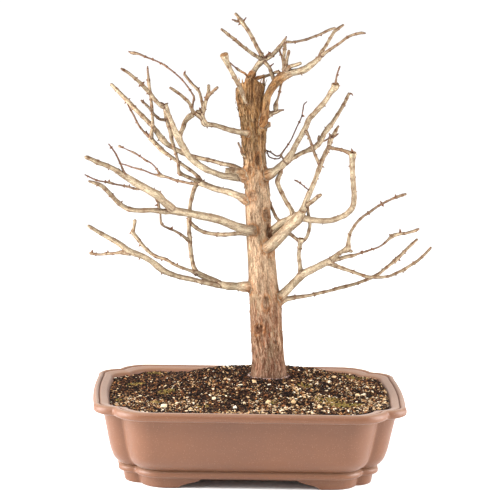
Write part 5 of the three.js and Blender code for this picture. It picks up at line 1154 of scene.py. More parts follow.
@dataclass(frozen=True)
class StonewareFinish:
    """Unglazed brown stoneware, satin where it was wiped, with fine grog in it and upward faces painted
    paler, partly dust and partly painted highlight.
    """

    body: Colour = from_photo(118, 74, 47)
    warm: Colour = from_photo(124, 78, 49)
    cool: Colour = from_photo(110, 69, 45)
    grog_light: Colour = from_photo(172, 132, 106)
    grog_dark: Colour = from_photo(92, 60, 44)
    dust_and_top_highlight: Colour = from_photo(176, 148, 126)
    dust: float = 0.12

    def material(self) -> Material:
        """Returns the pot's material."""
        finish, bench, shader = new_finish("stoneware", 0.5, 0.38)
        shader.inputs["Sheen Weight"].default_value = self.dust
        shader.inputs["Sheen Roughness"].default_value = 0.35
        place = bench.coordinates()
        wiped = bench.mottle(bench.stretched(place, 0.25, 0.25, 2.2), 0.012, 1.8)
        # Painted highlight with dust: upward faces, such as the rim's top, are painted paler.
        upward = bench.spread(bench.facing()[2], 0.6, 0.98, 0.0, 0.42)
        colour = bench.coated(
            bench.blend(bench.mottle(place, 0.085, 2.4), self.cool, self.warm),
            (bench.times(wiped, 0.4), self.body),
            (bench.times(bench.speckle(place, 0.0011, 0.1)[0], 0.5), self.grog_light),
            (bench.times(bench.speckle(place, 0.0013, 0.06)[0], 0.55), self.grog_dark),
            # Upward faces painted paler: dust and painted highlight.
            (bench.times(upward, bench.spread(wiped, 0.0, 1.0, 0.7, 1.0)), self.dust_and_top_highlight),
        )
        bench.feed(shader.inputs["Roughness"], bench.spread(wiped, 0.0, 1.0, 0.42, 0.54))
        relief = bench.plus(bench.speckle(place, 0.0009, 0.5)[1], bench.times(wiped, 0.8))
        cover(bench, shader, colour, relief, 0.22, 0.0006)
        return finish


@dataclass(frozen=True)
class EarthFinish:
    """The damp mix under the grit: dark and brown in soft patches, with dark crumbs."""

    wet: Colour = from_photo(16, 10, 8)
    brown: Colour = from_photo(50, 31, 22)

    def material(self) -> Material:
        """Returns the soil's material."""
        finish, bench, shader = new_finish("damp_soil", 0.9, 0.12)
        place = bench.coordinates()
        crumbs, relief = bench.speckle(place, 0.0028, 0.4)
        patches = bench.blend(bench.mottle(place, 0.012, 3.0), self.wet, self.brown)
        cover(bench, shader, bench.blend(crumbs, patches, self.wet), relief, 0.8, 0.002)
        return finish


class Crumb(Enum):
    """The kinds of grain on the soil, with the colours that each runs through."""

    DARK = ((14, 9, 7), (38, 24, 18), (84, 54, 36))
    CLAY = ((85, 46, 25), (146, 88, 50), (190, 128, 79))
    PUMICE = ((180, 144, 102), (228, 196, 152), (250, 236, 212))
    HUSK = ((92, 60, 34), (152, 108, 64), (208, 164, 112))
    FRAY = ((122, 92, 87), (174, 144, 134), (226, 204, 190))

    def material(self) -> Material:
        """Returns the grain's material."""
        finish, bench, shader = new_finish(f"grit_{self.name.lower()}", 0.86, 0.12)
        low, middle, high = (from_photo(*colour) for colour in self.value)
        tint = bench.reading("tint")
        pores, relief = bench.speckle(bench.coordinates(), 0.0011, 0.3)
        coats = ((bench.spread(tint, 0.0, 0.5), middle), (bench.spread(tint, 0.5, 1.0), high))
        cover(bench, shader, bench.coated(low, *coats, (bench.times(pores, 0.5), low)), relief, 0.6, 0.0008)
        return finish


@dataclass(frozen=True)
class MossFinish:
    """Yellow-green moss, browner at its roots."""

    root: Colour = from_photo(62, 50, 20)
    tip: Colour = from_photo(112, 102, 36)
    dry: Colour = from_photo(158, 120, 56)

    def material(self) -> Material:
        """Returns the moss's material."""
        finish, bench, shader = new_finish("moss", 0.8, 0.3)
        leaf = bench.blend(bench.mottle(bench.coordinates(), 0.008, 3.0), self.tip, self.dry)
        colour = bench.blend(bench.spread(bench.reading("tint"), 0.0, 0.8), self.root, leaf)
        bench.feed(shader.inputs["Base Color"], colour)
        return finish


@dataclass(frozen=True)
class MeshFinish:
    """Dark green plastic mesh, scuffed."""

    green: Colour = from_photo(34, 52, 42)
    scuffed: Colour = from_photo(84, 100, 86)

    def material(self) -> Material:
        """Returns the drain screens' material."""
        finish, bench, shader = new_finish("screen_plastic", 0.45, 0.5)
        scuffs = bench.mottle(bench.coordinates(), 0.004, 4.0)
        colour = bench.blend(bench.times(scuffs, 0.4), self.green, self.scuffed)
        cover(bench, shader, colour, scuffs, 0.2, 0.0003)
        return finish


@dataclass(frozen=True)
class FloorFinish:
    """The plain pale paper that the pot stands on."""

    paper: Colour = (0.97, 0.97, 0.97, 1.0)

    def material(self) -> Material:
        """Returns the floor's material."""
        finish, _, shader = new_finish("pale_floor", 0.95, 0.0)
        shader.inputs["Base Color"].default_value = self.paper
        return finish


def at_depth(x: float, z: float, depth: float) -> Vector:
    """Moves a place drawn on the plane through the trunk along the line of sight.

    Args:
        x, z: the place as it shows from the viewpoint.
        depth: how far back it lies.

    Returns:
        The place in the pot's frame.
    """
    return EYE.lerp(Vector((x, 0, z)), (depth - EYE.y) / -EYE.y)


def as_drawn(place: Vector) -> tuple[float, float]:
    """Returns the x and z at which a place shows on the plane through the trunk."""
    spot = EYE.lerp(place, EYE.y / (EYE.y - place.y))
    return spot.x, spot.z


@dataclass(frozen=True)
class Scar:
    """An old wound on the front of the trunk: a sunken heart with a healed lip round it."""

    x: float
    z: float
    half_width: float
    half_height: float
    depth: float
    lip: float
    dark: float
    reach: float = 2.5

    def at(self, x: float, z: float) -> tuple[float, float, float]:
        """Works out what the scar does to the bark at a place.

        Args:
            x, z: the place as it shows from the viewpoint.

        Returns:
            The step in millimetres, positive outwards, and how far the place lies in the heart and
            in the lip, 0 to 1.
        """
        away = math.hypot((x - self.x) / self.half_width, (z - self.z) / self.half_height)
        if away > self.reach:
            return 0.0, 0.0, 0.0
        away += 0.35 * noise_at(x * 0.5, z * 0.3, 8) - 0.05
        rim = math.exp(-(((away - 1.2) / 0.28) ** 2))
        heart = 1 - eased(0.65, 1.05, away)
        return self.lip * rim - self.depth * heart, heart * self.dark, rim * min(self.lip, 1.0)


# The old wounds, each where it shows from the front.
SCARS = (
    Scar(20.6, 222.6, 4.2, 8.4, 1.4, 1.3, 0.35),
    Scar(12.6, 186.9, 6.0, 6.4, 1.9, 1.2, 1.0),
    Scar(11.3, 169.3, 1.8, 6.5, 0.6, 0.3, 0.7),
    Scar(17.8, 339.3, 3.4, 6.5, 1.2, 1.0, 0.8),
    Scar(23.7, 317.6, 4.2, 14.0, 3.0, 0.6, 0.9),
    Scar(31.5, 319.7, 2.6, 8.0, 1.6, 0.3, 1.0),
    Scar(24.5, 292.0, 4.6, 7.0, 0.4, 1.1, 0.35),
    Scar(0.3, 364.0, 4.0, 5.0, 0.9, 1.2, 0.6),
    Scar(13.3, 382.7, 4.2, 4.4, 0.6, 0.9, 0.4),
    Scar(-2.4, 397.0, 3.4, 6.0, 0.4, 0.9, 0.35),
    Scar(5.6, 409.0, 3.8, 8.0, 2.0, 1.0, 0.8),
    Scar(32.6, 209.0, 4.6, 19.0, 0.5, 0.2, 0.6),
    Scar(-3.0, 497.0, 1.6, 12.0, 2.2, 0.3, 0.7),
    Scar(4.5, 491.0, 1.5, 14.0, 2.0, 0.3, 0.7),
    Scar(9.3, 476.0, 1.6, 16.0, 2.2, 0.4, 0.7),
    Scar(-8.0, 468.0, 1.2, 10.0, 1.2, 0.2, 0.6),
    Scar(2.0, 455.0, 1.3, 14.0, 1.2, 0.3, 0.6),
    Scar(11.5, 438.0, 1.4, 13.0, 1.6, 0.3, 0.6),
    Scar(-4.0, 431.0, 1.2, 9.0, 1.0, 0.2, 0.6),
)


@dataclass(frozen=True)
class Shag:
    """Thin strips of bark that are loose at one end: between which heights, how many, and their size."""

    low: float
    high: float
    count: int
    lengths: tuple[float, float]
    widths: tuple[float, float]
    lift: float


# The bark is shaggy at the chopped top, smoother in the middle and rough again at the foot.
SHAGS = (
    Shag(378, 508, 260, (6, 22), (1.3, 3.0), 2.4),
    Shag(215, 378, 130, (5, 16), (0.8, 1.6), 0.8),
    Shag(130, 215, 150, (6, 20), (1.0, 2.0), 1.1),
)

# Moss cushions on the soil: x, y, half their length and depth, and how many stems.
MOSS_CUSHIONS = (
    (-124, 118, 10, 5, 90), (-149, 42, 12, 6, 150), (-143, 36, 8, 5, 90), (-107, -27, 13, 7, 240),
    (-168, -58, 6, 6, 70), (-122, -69, 9, 6, 130), (103, -70, 20, 12, 560), (121, -84, 18, 9, 420),
    (135, -79, 13, 8, 240), (136, 39, 16, 9, 260), (160, 88, 9, 7, 90), (29, -87, 8, 5, 90),
    (-60, -92, 8, 5, 70), (72, -40, 10, 6, 110),
)
# The largest pale stones: x, y and radius.
LARGE_PUMICE = (
    (-110, -99, 4.0), (55, -83, 3.4), (23, -85, 3.2), (6, -38, 2.8), (88, -96, 3.0), (-46, -70, 2.8),
    (-76, -108, 2.8), (140, -40, 2.9), (112, 6, 2.7), (-20, -104, 2.8),
)


def side_of(corner: Vector, sides: int) -> int:
    """Returns which side of a rod a corner of it stands on, counted from the back."""
    return round((math.atan2(corner.y, corner.x) / math.tau - 0.25) * sides) % sides


@dataclass
class GrownLimb:
    """A limb with its depths worked out, as smooth rings from its root to its tip."""

    plan: Limb
    points: list[Row]
    depths: list[float]
    rings: list[Vector] = field(default_factory=list)
    joints: list[float] = field(default_factory=list)

    def nearest(self, x: float, z: float) -> tuple[float, float, float]:
        """Finds the place on the drawn limb nearest to a drawn point.

        Args:
            x, z: the point as it shows from the viewpoint.

        Returns:
            The place's x, z and depth.
        """
        best = (math.inf, 0.0, 0.0, 0.0)
        points = self.points
        for i in range(1, len(points)):
            (ax, az, _), (bx, bz, _) = points[i - 1], points[i]
            share = ((x - ax) * (bx - ax) + (z - az) * (bz - az)) / ((bx - ax) ** 2 + (bz - az) ** 2)
            share = min(max(share, 0.0), 1.0)
            near_x, near_z = ax + (bx - ax) * share, az + (bz - az) * share
            depth = self.depths[i - 1] + (self.depths[i] - self.depths[i - 1]) * share
            best = min(best, (math.hypot(x - near_x, z - near_z), near_x, near_z, depth))
        return best[1:]

    def skin_gap(self, place: Vector) -> float:
        """Returns how far a place is outside this limb's skin."""
        return min((place - ring.xyz).length - ring.w for ring in self.rings)

    def swelling(self, run: float, wide: float) -> float:
        """Returns how near a place along the limb is to one of its joints, 0 to 1."""
        return max((math.exp(-(((run - joint) / wide) ** 2)) for joint in self.joints), default=0.0)


@dataclass
class Trunk:
    """The trunk: its edges from the front, its bark's relief, its scars and its chopped top."""

    sides: int = 128
    ring_step: float = 1.7
    foot_heights: Row = (STUMP_BOTTOM, 80.0, 100.0, 112.0)
    cap_rings: Row = (0.1, 0.13, 0.15, 0.16, 0.15, 0.12)
    jagged: float = 12.0
    strip_rings: int = 6
    strip_depth: float = 0.8
    rows: list[Vector] = field(default_factory=list)
    knots: list[Vector] = field(default_factory=list)

    def __post_init__(self) -> None:
        """Smooths the table of edges."""
        self.rows = smooth_rows(TRUNK_EDGES, lambda _: 6.0)

    def girth_at(self, height: float) -> tuple[float, float]:
        """Returns the trunk's middle and half its width at a height."""
        left, right = value_at(self.rows, height)
        return (left + right) / 2, (right - left) / 2

    def skin_gap(self, place: Vector) -> float:
        """Returns how far a place is outside the trunk's skin, near enough for a collar."""
        middle, half = self.girth_at(place.z)
        return (math.hypot(place.x - middle, place.y / TRUNK_DEPTH_RATIO) / half - 1) * half

    def relief(self, angle: float, height: float, middle: float, half: float) -> float:
        """Works out how far the bark stands out or in at a place, in millimetres.

        Args:
            angle: the way round the trunk.
            height: the height in the pot's frame.
            middle, half: the trunk's middle and half its width there.

        Returns:
            The step from the plain trunk, positive outwards.
        """
        lean = angle + 0.0016 * (height - STUMP_TOP)
        lean += 0.16 * noise_at(math.cos(angle) * 1.2, math.sin(angle) * 1.2, height * 0.022)
        x, y = math.cos(lean) * half, math.sin(lean) * half
        flutes = noise_at(x * 0.075, y * 0.075, height * 0.009)
        strips = noise_at(x * 0.2, y * 0.2, height * 0.016 + 7)
        fibres = abs(noise_at(x * 0.5, y * 0.5, height * 0.035 + 31))
        threads = abs(noise_at(x * 1.1, y * 1.1, height * 0.08 + 63))
        crumbs = noise_at(x * 0.9, y * 0.9, height * 0.5)
        torn = eased(375, 440, height) + 0.5 * (1 - eased(150, 215, height))
        total = (0.8 + 0.6 * torn) * flutes + (0.5 + 0.8 * torn) * strips
        total -= (0.2 + 0.6 * torn) * max(0.0, 0.11 - fibres) / 0.11
        total -= (0.25 + 0.35 * torn) * max(0.0, 0.11 - threads) / 0.11
        return (total + (0.15 + 0.2 * torn) * crumbs) * eased(STUMP_TOP - 2, 140, height)

    def gnarl(self, place: Vector) -> tuple[float, float]:
        """Works out the knot that the bark makes round a limb's root.

        Args:
            place: a place on the plain trunk.

        Returns:
            How far the bark stands out there, and how knotty it is, 0 to 1.
        """
        step = knotty = 0.0
        for knot in self.knots:
            away = (place - knot.xyz).length / knot.w
            if away < 2.6:
                step = max(step, knot.w * 0.3 * (1 - eased(0.7, 2.1, away)))
                knotty = max(knotty, 1 - eased(1.1, 2.4, away))
        return step * (1 + 0.5 * noise.noise(place * 0.4)), knotty

    def build(self, place: Place) -> Piece:
        """Builds the trunk, from the stump in the soil to the jagged cut.

        Args:
            place: the pot's place in the model.

        Returns:
            The trunk as a solid object.
        """
        top = TRUNK_EDGES[-1][0]
        heights = list(self.foot_heights)
        while heights[-1] < top:
            heights.append(min(heights[-1] + self.ring_step, top))
        steps = len(heights) - 1
        shape = rod(self.sides, steps)
        inset_cap(shape, 1.0, self.cap_rings)
        layers = bark_layers(shape)
        girths = [self.girth_at(height) for height in heights]
        for vertex in shape.verts:
            ring = round(vertex.co.z * steps)
            height = heights[ring]
            share = math.hypot(vertex.co.x, vertex.co.y)
            angle = math.atan2(vertex.co.y, vertex.co.x)
            middle, half = girths[ring]
            relief = knotty = heart = 0.0
            if height > STUMP_TOP - 2 and share > SKIN:
                plain = Vector((middle + half * math.cos(angle), 0, height))
                plain.y = half * math.sin(angle) * TRUNK_DEPTH_RATIO
                swollen, knotty = self.gnarl(plain)
                relief = self.relief(angle, height, middle, half) + swollen
                drawn = as_drawn(plain)
                for wound in SCARS if angle <= 0 else ():
                    step, depth, rim = wound.at(*drawn)
                    relief += step
                    heart = max(heart, depth)
                    knotty = max(knotty, 0.8 * rim)
            radius = (half + relief) * share
            x = middle + radius * math.cos(angle)
            y = radius * math.sin(angle) * TRUNK_DEPTH_RATIO
            on_cap = ring == steps and share < SKIN
            if ring == steps:
                rim = value_at(TRUNK_CROWN, x)[0] + 1.6 * noise_at(angle * 3.1, 4.0, 0.5)
                splinter = 2.2 * noise_at(x * 0.34, y * 0.34, 2.0)
                height = CROWN_HOLLOW + (rim - CROWN_HOLLOW) * eased(0.15, 1.0, share)
                height += splinter * (1 - eased(0.7, 1.0, share))
            elif heights[ring] > top - self.jagged:
                lift = eased(top - self.jagged, top, heights[ring])
                height += (value_at(TRUNK_CROWN, x)[0] - top) * lift * lift
            vertex.co = (x, y, height)
            grain = (math.cos(angle) * half, math.sin(angle) * half, height)
            mark(vertex, layers, grain=grain, girth=half, cut=float(on_cap), knot=knotty, scar=heart)
        return settled_mesh(shape, "trunk_and_limbs", place)

    def strip(self, shape: Shape, layers: dict[str, object], dice: Random, shag: Shag) -> None:
        """Adds one loose strip of bark, held at one end.

        Args:
            shape: the mesh of all the strips.
            layers: its vertex layers by name.
            dice: the seeded source of chance.
            shag: what kind of strip.
        """
        angle = dice.uniform(0, math.tau)
        held = dice.uniform(shag.low, shag.high)
        length = dice.uniform(*shag.lengths) * (1 if dice.random() < 0.4 else -1)
        width = dice.uniform(*shag.widths)
        lift = shag.lift * dice.random() ** 1.5
        middle, half = self.girth_at(held + length / 2)
        spot = Vector((middle + half * math.cos(angle), half * math.sin(angle), held + length / 2))
        if any(max(wound.at(*as_drawn(spot))[1:]) > 0.1 for wound in SCARS):
            return
        drift = dice.uniform(-0.06, 0.06)
        shift = dice.uniform(-30, 30)
        corners = []
        for k in range(self.strip_rings):
            share = k / (self.strip_rings - 1)
            height = held + length * share
            middle, half = self.girth_at(height)
            turn = angle + drift * share
            out = self.relief(turn, height, middle, half) + 0.15 + lift * share * share
            wide = width / 2 * (1 - (2 * share - 0.9) ** 4 * 0.9) / half
            for side, under in ((-1, 0.0), (1, 0.0), (1, self.strip_depth), (-1, self.strip_depth)):
                way = turn + side * wide
                radius = half + out - under
                spot = (middle + radius * math.cos(way), radius * math.sin(way) * TRUNK_DEPTH_RATIO, height)
                vertex = shape.verts.new(spot)
                grain = (math.cos(way) * half + shift, math.sin(way) * half, height + shift)
                mark(vertex, layers, grain=grain, girth=half)
                corners.append(vertex)
        for k in range(self.strip_rings - 1):
            here, there = corners[4 * k:4 * k + 4], corners[4 * k + 4:4 * k + 8]
            for i in range(4):
                shape.faces.new((here[i], here[(i + 1) % 4], there[(i + 1) % 4], there[i]))
        shape.faces.new(corners[:4])
        shape.faces.new(corners[-4:])

    def strips(self, dice: Random, place: Place) -> Piece:
        """Adds the loose strips of bark.

        Args:
            dice: the seeded source of chance.
            place: the pot's place in the model.

        Returns:
            The strips as one piece.
        """
        shape = bmesh.new()
        layers = bark_layers(shape)
        for shag in SHAGS:
            for _ in range(shag.count):
                self.strip(shape, layers, dice, shag)
        bmesh.ops.recalc_face_normals(shape, faces=shape.faces)
        return settled_mesh(shape, "bark_strips", place)


@dataclass
class Tree:
    """The grown tree: trunk, limbs, twigs and buds."""

    place: Place
    finish: Material
    bud_finish: Material
    seed: int = 5
    sway: float = 0.045
    sway_turns: float = 1.3
    golden_share: float = 0.618
    collar: float = 0.28
    joint_gap: tuple[float, float] = (9.0, 19.0)
    knots_below: float = 450.0
    leader_bark: float = 6.5
    trunk_bark: float = 8.0
    stub_length: float = 40.0
    stub_radius: float = 2.9
    scar_reach: float = 8.0
    bud_radii: tuple[float, float] = (0.7, 3.4)
    # How many sides a limb has, by what its mean radius is below.
    limb_sides: tuple[Row, ...] = ((1.2, 8), (2.2, 10), (3.6, 14), (math.inf, 20))
    trunk: Trunk = field(default_factory=Trunk)
    limbs: dict[str, GrownLimb] = field(default_factory=dict)

    def settle(self) -> None:
        """Works out each limb's depths, from what it grows out of and reaches, and its rings."""
        for order, plan in enumerate(LIMBS):
            points = [(x, z, radius * LIMB_SWELL) for x, z, radius in plan.points]
            runs = [0.0]
            for first, second in zip(points, points[1:]):
                runs.append(runs[-1] + math.hypot(second[0] - first[0], second[1] - first[1]))
            on_limb = plan.root in self.limbs
            root = self.limbs[plan.root].nearest(*points[0][:2])[2] if on_limb else plan.start
            tip = self.limbs[plan.meets].nearest(*points[-1][:2])[2] if plan.meets else plan.reach
            depths = []
            for run in runs:
                share = run / runs[-1]
                turn = math.sin(math.tau * (self.sway_turns * share + order * self.golden_share))
                bend = plan.bow + self.sway * runs[-1] * turn
                depths.append(root + (tip - root) * share + bend * math.sin(math.pi * share))
            if plan.root == "trunk":
                points[0] = (self.trunk.girth_at(points[0][1])[0], *points[0][1:])
                depths[0] = 0.0
            rows = []
            for (x, z, radius), depth in zip(points, depths):
                spot = at_depth(x, z, depth)
                rows.append((spot.x, spot.y, spot.z, radius))
            grown = GrownLimb(plan, points, depths)
            grown.rings = smooth_rows(rows, lambda row: min(max(0.6 + 0.7 * row[3], 1.4), 3.0))
            self.limbs[plan.name] = grown
            self.mark_joints(order, grown)

    def mark_joints(self, order: int, limb: GrownLimb) -> None:
        """Marks a limb's joints, and its knot where it leaves the trunk.

        Args:
            order: the limb's number.
            limb: the limb.
        """
        dice = Random(self.seed * 100 + order)
        length = sum((second.xyz - first.xyz).length for first, second in zip(limb.rings, limb.rings[1:]))
        place = dice.uniform(*self.joint_gap)
        while place < length - 2:
            limb.joints.append(place)
            place += dice.uniform(*self.joint_gap)
        if limb.plan.root == "trunk" and limb.rings[0].z < self.knots_below:
            out = next((ring for ring in limb.rings if self.trunk.skin_gap(ring.xyz) > -0.2 * ring.w), None)
            if out is not None:
                self.trunk.knots.append(out)

    def girths(self, limb: GrownLimb) -> tuple[list[float], list[float], list[float], list[float]]:
        """Works out a limb's radius at each ring, with a collar where it leaves its parent.

        Args:
            limb: the limb.

        Returns:
            The distances along the limb, the radii, how knotty the bark is and how thick a stem's
            bark it has, from root to tip.
        """
        parents = [self.limbs.get(limb.plan.root, self.trunk)]
        if limb.plan.meets:
            parents.append(self.limbs[limb.plan.meets])
        runs, radii, knotty, barks = [], [], [], []
        middle = len(limb.rings) / 2
        run = 0.0
        last = limb.rings[0]
        for i, ring in enumerate(limb.rings):
            run += (ring.xyz - last.xyz).length
            last = ring
            swollen = limb.swelling(run, 1.0 + 0.45 * ring.w) * (1 - 0.7 * eased(2.2, 4.2, ring.w))
            radius = ring.w * (1 + 0.05 * noise_at(run * 0.12, len(limb.rings), 3) + 0.14 * swollen)
            knot = 0.95 * swollen
            bark = ring.w
            if limb.plan.root == "trunk" and i < middle:
                gap = max(self.trunk.skin_gap(ring.xyz) - 0.5, 0.0)
                bark += self.trunk_bark * math.exp(-gap / (0.9 * ring.w))
            for k, parent in enumerate(parents):
                if (i < middle) != (k == 0):
                    continue
                gap = max(parent.skin_gap(ring.xyz), 0.0)
                if parent is self.trunk:
                    collar, darkest = self.collar, 1 - 0.4 * eased(3.4, 4.6, ring.w)
                else:
                    collar, darkest = self.collar * 0.4, 0.8 - 0.5 * eased(2.0, 3.2, ring.w)
                radius += ring.w * collar * math.exp(-gap / (1.1 * ring.w))
                knot = max(knot, darkest * math.exp(-gap / (0.7 * ring.w)))
            runs.append(run)
            radii.append(radius)
            knotty.append(knot)
            barks.append(bark)
        if runs[-1] < self.stub_length and limb.rings[-1].w > self.stub_radius:
            knotty = [max(knot, 0.8) for knot in knotty]
        if limb.plan.name == "leader":
            shares = (1 - eased(0.5, 0.95, run / runs[-1]) for run in runs)
            barks = [bark + self.leader_bark * share for bark, share in zip(barks, shares)]
        return runs, radii, knotty, barks

    def limb_piece(self, order: int, limb: GrownLimb) -> Piece:
        """Builds one limb as a rod bent along its rings.

        Args:
            order: the limb's number, which sets its grain apart from the others'.
            limb: the limb.

        Returns:
            The limb as a solid object.
        """
        rings = limb.rings
        runs, radii, knotty, barks = self.girths(limb)
        thick = sum(ring.w for ring in rings) / len(rings)
        sides = next(sides for below, sides in self.limb_sides if thick < below)
        steps = len(rings) - 1
        shape = rod(sides, steps)
        chopped = rings[-1].w > self.stub_radius and not limb.plan.meets
        inset_cap(shape, 1.0, (0.22, 0.4))
        layers = bark_layers(shape)
        frames = []
        across = (rings[1].xyz - rings[0].xyz).orthogonal()
        for i in range(steps + 1):
            along = (rings[min(i + 1, steps)].xyz - rings[max(i - 1, 0)].xyz).normalized()
            across = (across - along * across.dot(along)).normalized()
            frames.append((across.copy(), along.cross(across), along))
        for vertex in shape.verts:
            ring = round(vertex.co.z * steps)
            share = math.hypot(vertex.co.x, vertex.co.y)
            angle = math.atan2(vertex.co.y, vertex.co.x)
            side, up, along = frames[ring]
            size = radii[ring]
            round_x, round_y = math.cos(angle) * size, math.sin(angle) * size
            rough = Vector((round_x * 0.5, round_y * 0.5, runs[ring] * 0.07 + order * 3))
            relief = 0.07 * noise.noise(rough * 2.4) + 0.07 * noise.noise(rough)
            relief += 0.16 * knotty[ring] * noise.noise(rough * 5)
            radius = size * share * (1 + relief * eased(0.8, 1.0, share))
            place = rings[ring].xyz + side * math.cos(angle) * radius + up * math.sin(angle) * radius
            on_cap = ring == steps and share < SKIN
            if ring == steps:
                jag = noise_at(math.cos(angle) * 1.7 + order, math.sin(angle) * 1.7, 1.0)
                if chopped:
                    place += along * size * (0.34 * jag - 0.22 * (1 - share))
                else:
                    place += along * size * 0.75 * (1 - share * share)
            vertex.co = place
            grain = (round_x + order * 17, round_y, runs[ring])
            cut = float(on_cap and chopped)
            mark(vertex, layers, grain=grain, girth=barks[ring], cut=cut, knot=knotty[ring])
            in_front = share > SKIN and place.y < rings[ring].y
            if in_front and self.trunk.skin_gap(rings[ring].xyz) < self.scar_reach:
                mark(vertex, layers, scar=max(wound.at(*as_drawn(place))[1] for wound in SCARS))
        return settled_mesh(shape, limb.plan.name, self.place)

    def bud_shape(self, shape: Shape, foot: Vector, way: Vector, length: float, width: float) -> None:
        """Adds one pointed bud.

        Args:
            shape: the mesh of all the buds.
            foot: where the bud sits on its limb.
            way: the way that it points.
            length, width: its size in millimetres.
        """
        matrix = Matrix.Translation(foot) @ way.to_track_quat("Z", "Y").to_matrix().to_4x4()
        made = bmesh.ops.create_icosphere(shape, subdivisions=2, radius=1.0)
        for vertex in made["verts"]:
            x, y, rise = vertex.co
            slim = 1.0 - 0.45 * eased(0.0, 1.0, rise)
            vertex.co = matrix @ Vector((x * width * slim, y * width * slim, (rise + 0.6) * length / 1.6))

    def drawn_buds(self, shape: Shape, dice: Random) -> None:
        """Adds the buds and snags that show from the front."""
        for name, x, z in BUDS:
            limb = self.limbs[name]
            near_x, near_z, depth = limb.nearest(x, z)
            foot = at_depth(near_x, near_z, depth)
            way = at_depth(x, z, depth) - foot
            length = max(way.length, 1.0)
            width = 1.25 + 0.5 * dice.random()
            self.bud_shape(shape, foot, way.normalized(), length + 0.6, width)

    def small_buds(self, shape: Shape, dice: Random) -> None:
        """Adds the pairs of small buds at every young shoot's joints, by a rule."""
        for limb in self.limbs.values():
            rings = limb.rings
            run = 0.0
            joints = iter(limb.joints)
            due = next(joints, math.inf)
            turn = dice.uniform(0, math.pi)
            for first, second in zip(rings[:-1], rings[1:]):
                run += (second.xyz - first.xyz).length
                if run < due:
                    continue
                due = next(joints, math.inf)
                if not self.bud_radii[0] < first.w < self.bud_radii[1]:
                    continue
                turn += math.radians(90) + dice.uniform(-0.4, 0.4)
                along = (second.xyz - first.xyz).normalized()
                side = along.orthogonal().normalized()
                side.rotate(Matrix.Rotation(turn, 3, along))
                for way in (side, -side):
                    if dice.random() < 0.25:
                        continue
                    size = dice.uniform(0.7, 1.15)
                    point = (way + along * 0.8).normalized()
                    self.bud_shape(shape, first.xyz + way * first.w * 0.85, point, 2.0 * size, 0.9 * size)

    def build(self) -> list[Piece]:
        """Builds and dresses the tree.

        Returns:
            The tree's pieces: its wood, its buds and its loose bark.
        """
        self.settle()
        wood = self.trunk.build(self.place)
        limbs = [self.limb_piece(order, limb) for order, limb in enumerate(self.limbs.values())]
        joined(wood, limbs, "UNION")
        shade(wood, self.finish)
        dice = Random(self.seed)
        shape = bmesh.new()
        self.drawn_buds(shape, dice)
        self.small_buds(shape, dice)
        buds = settled_mesh(shape, "buds", self.place)
        shade(buds, self.bud_finish)
        strips = self.trunk.strips(dice, self.place)
        shade(strips, self.finish, crease=40)
        for piece in (wood, buds, strips):
            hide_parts("tree")
        return [wood, buds, strips]


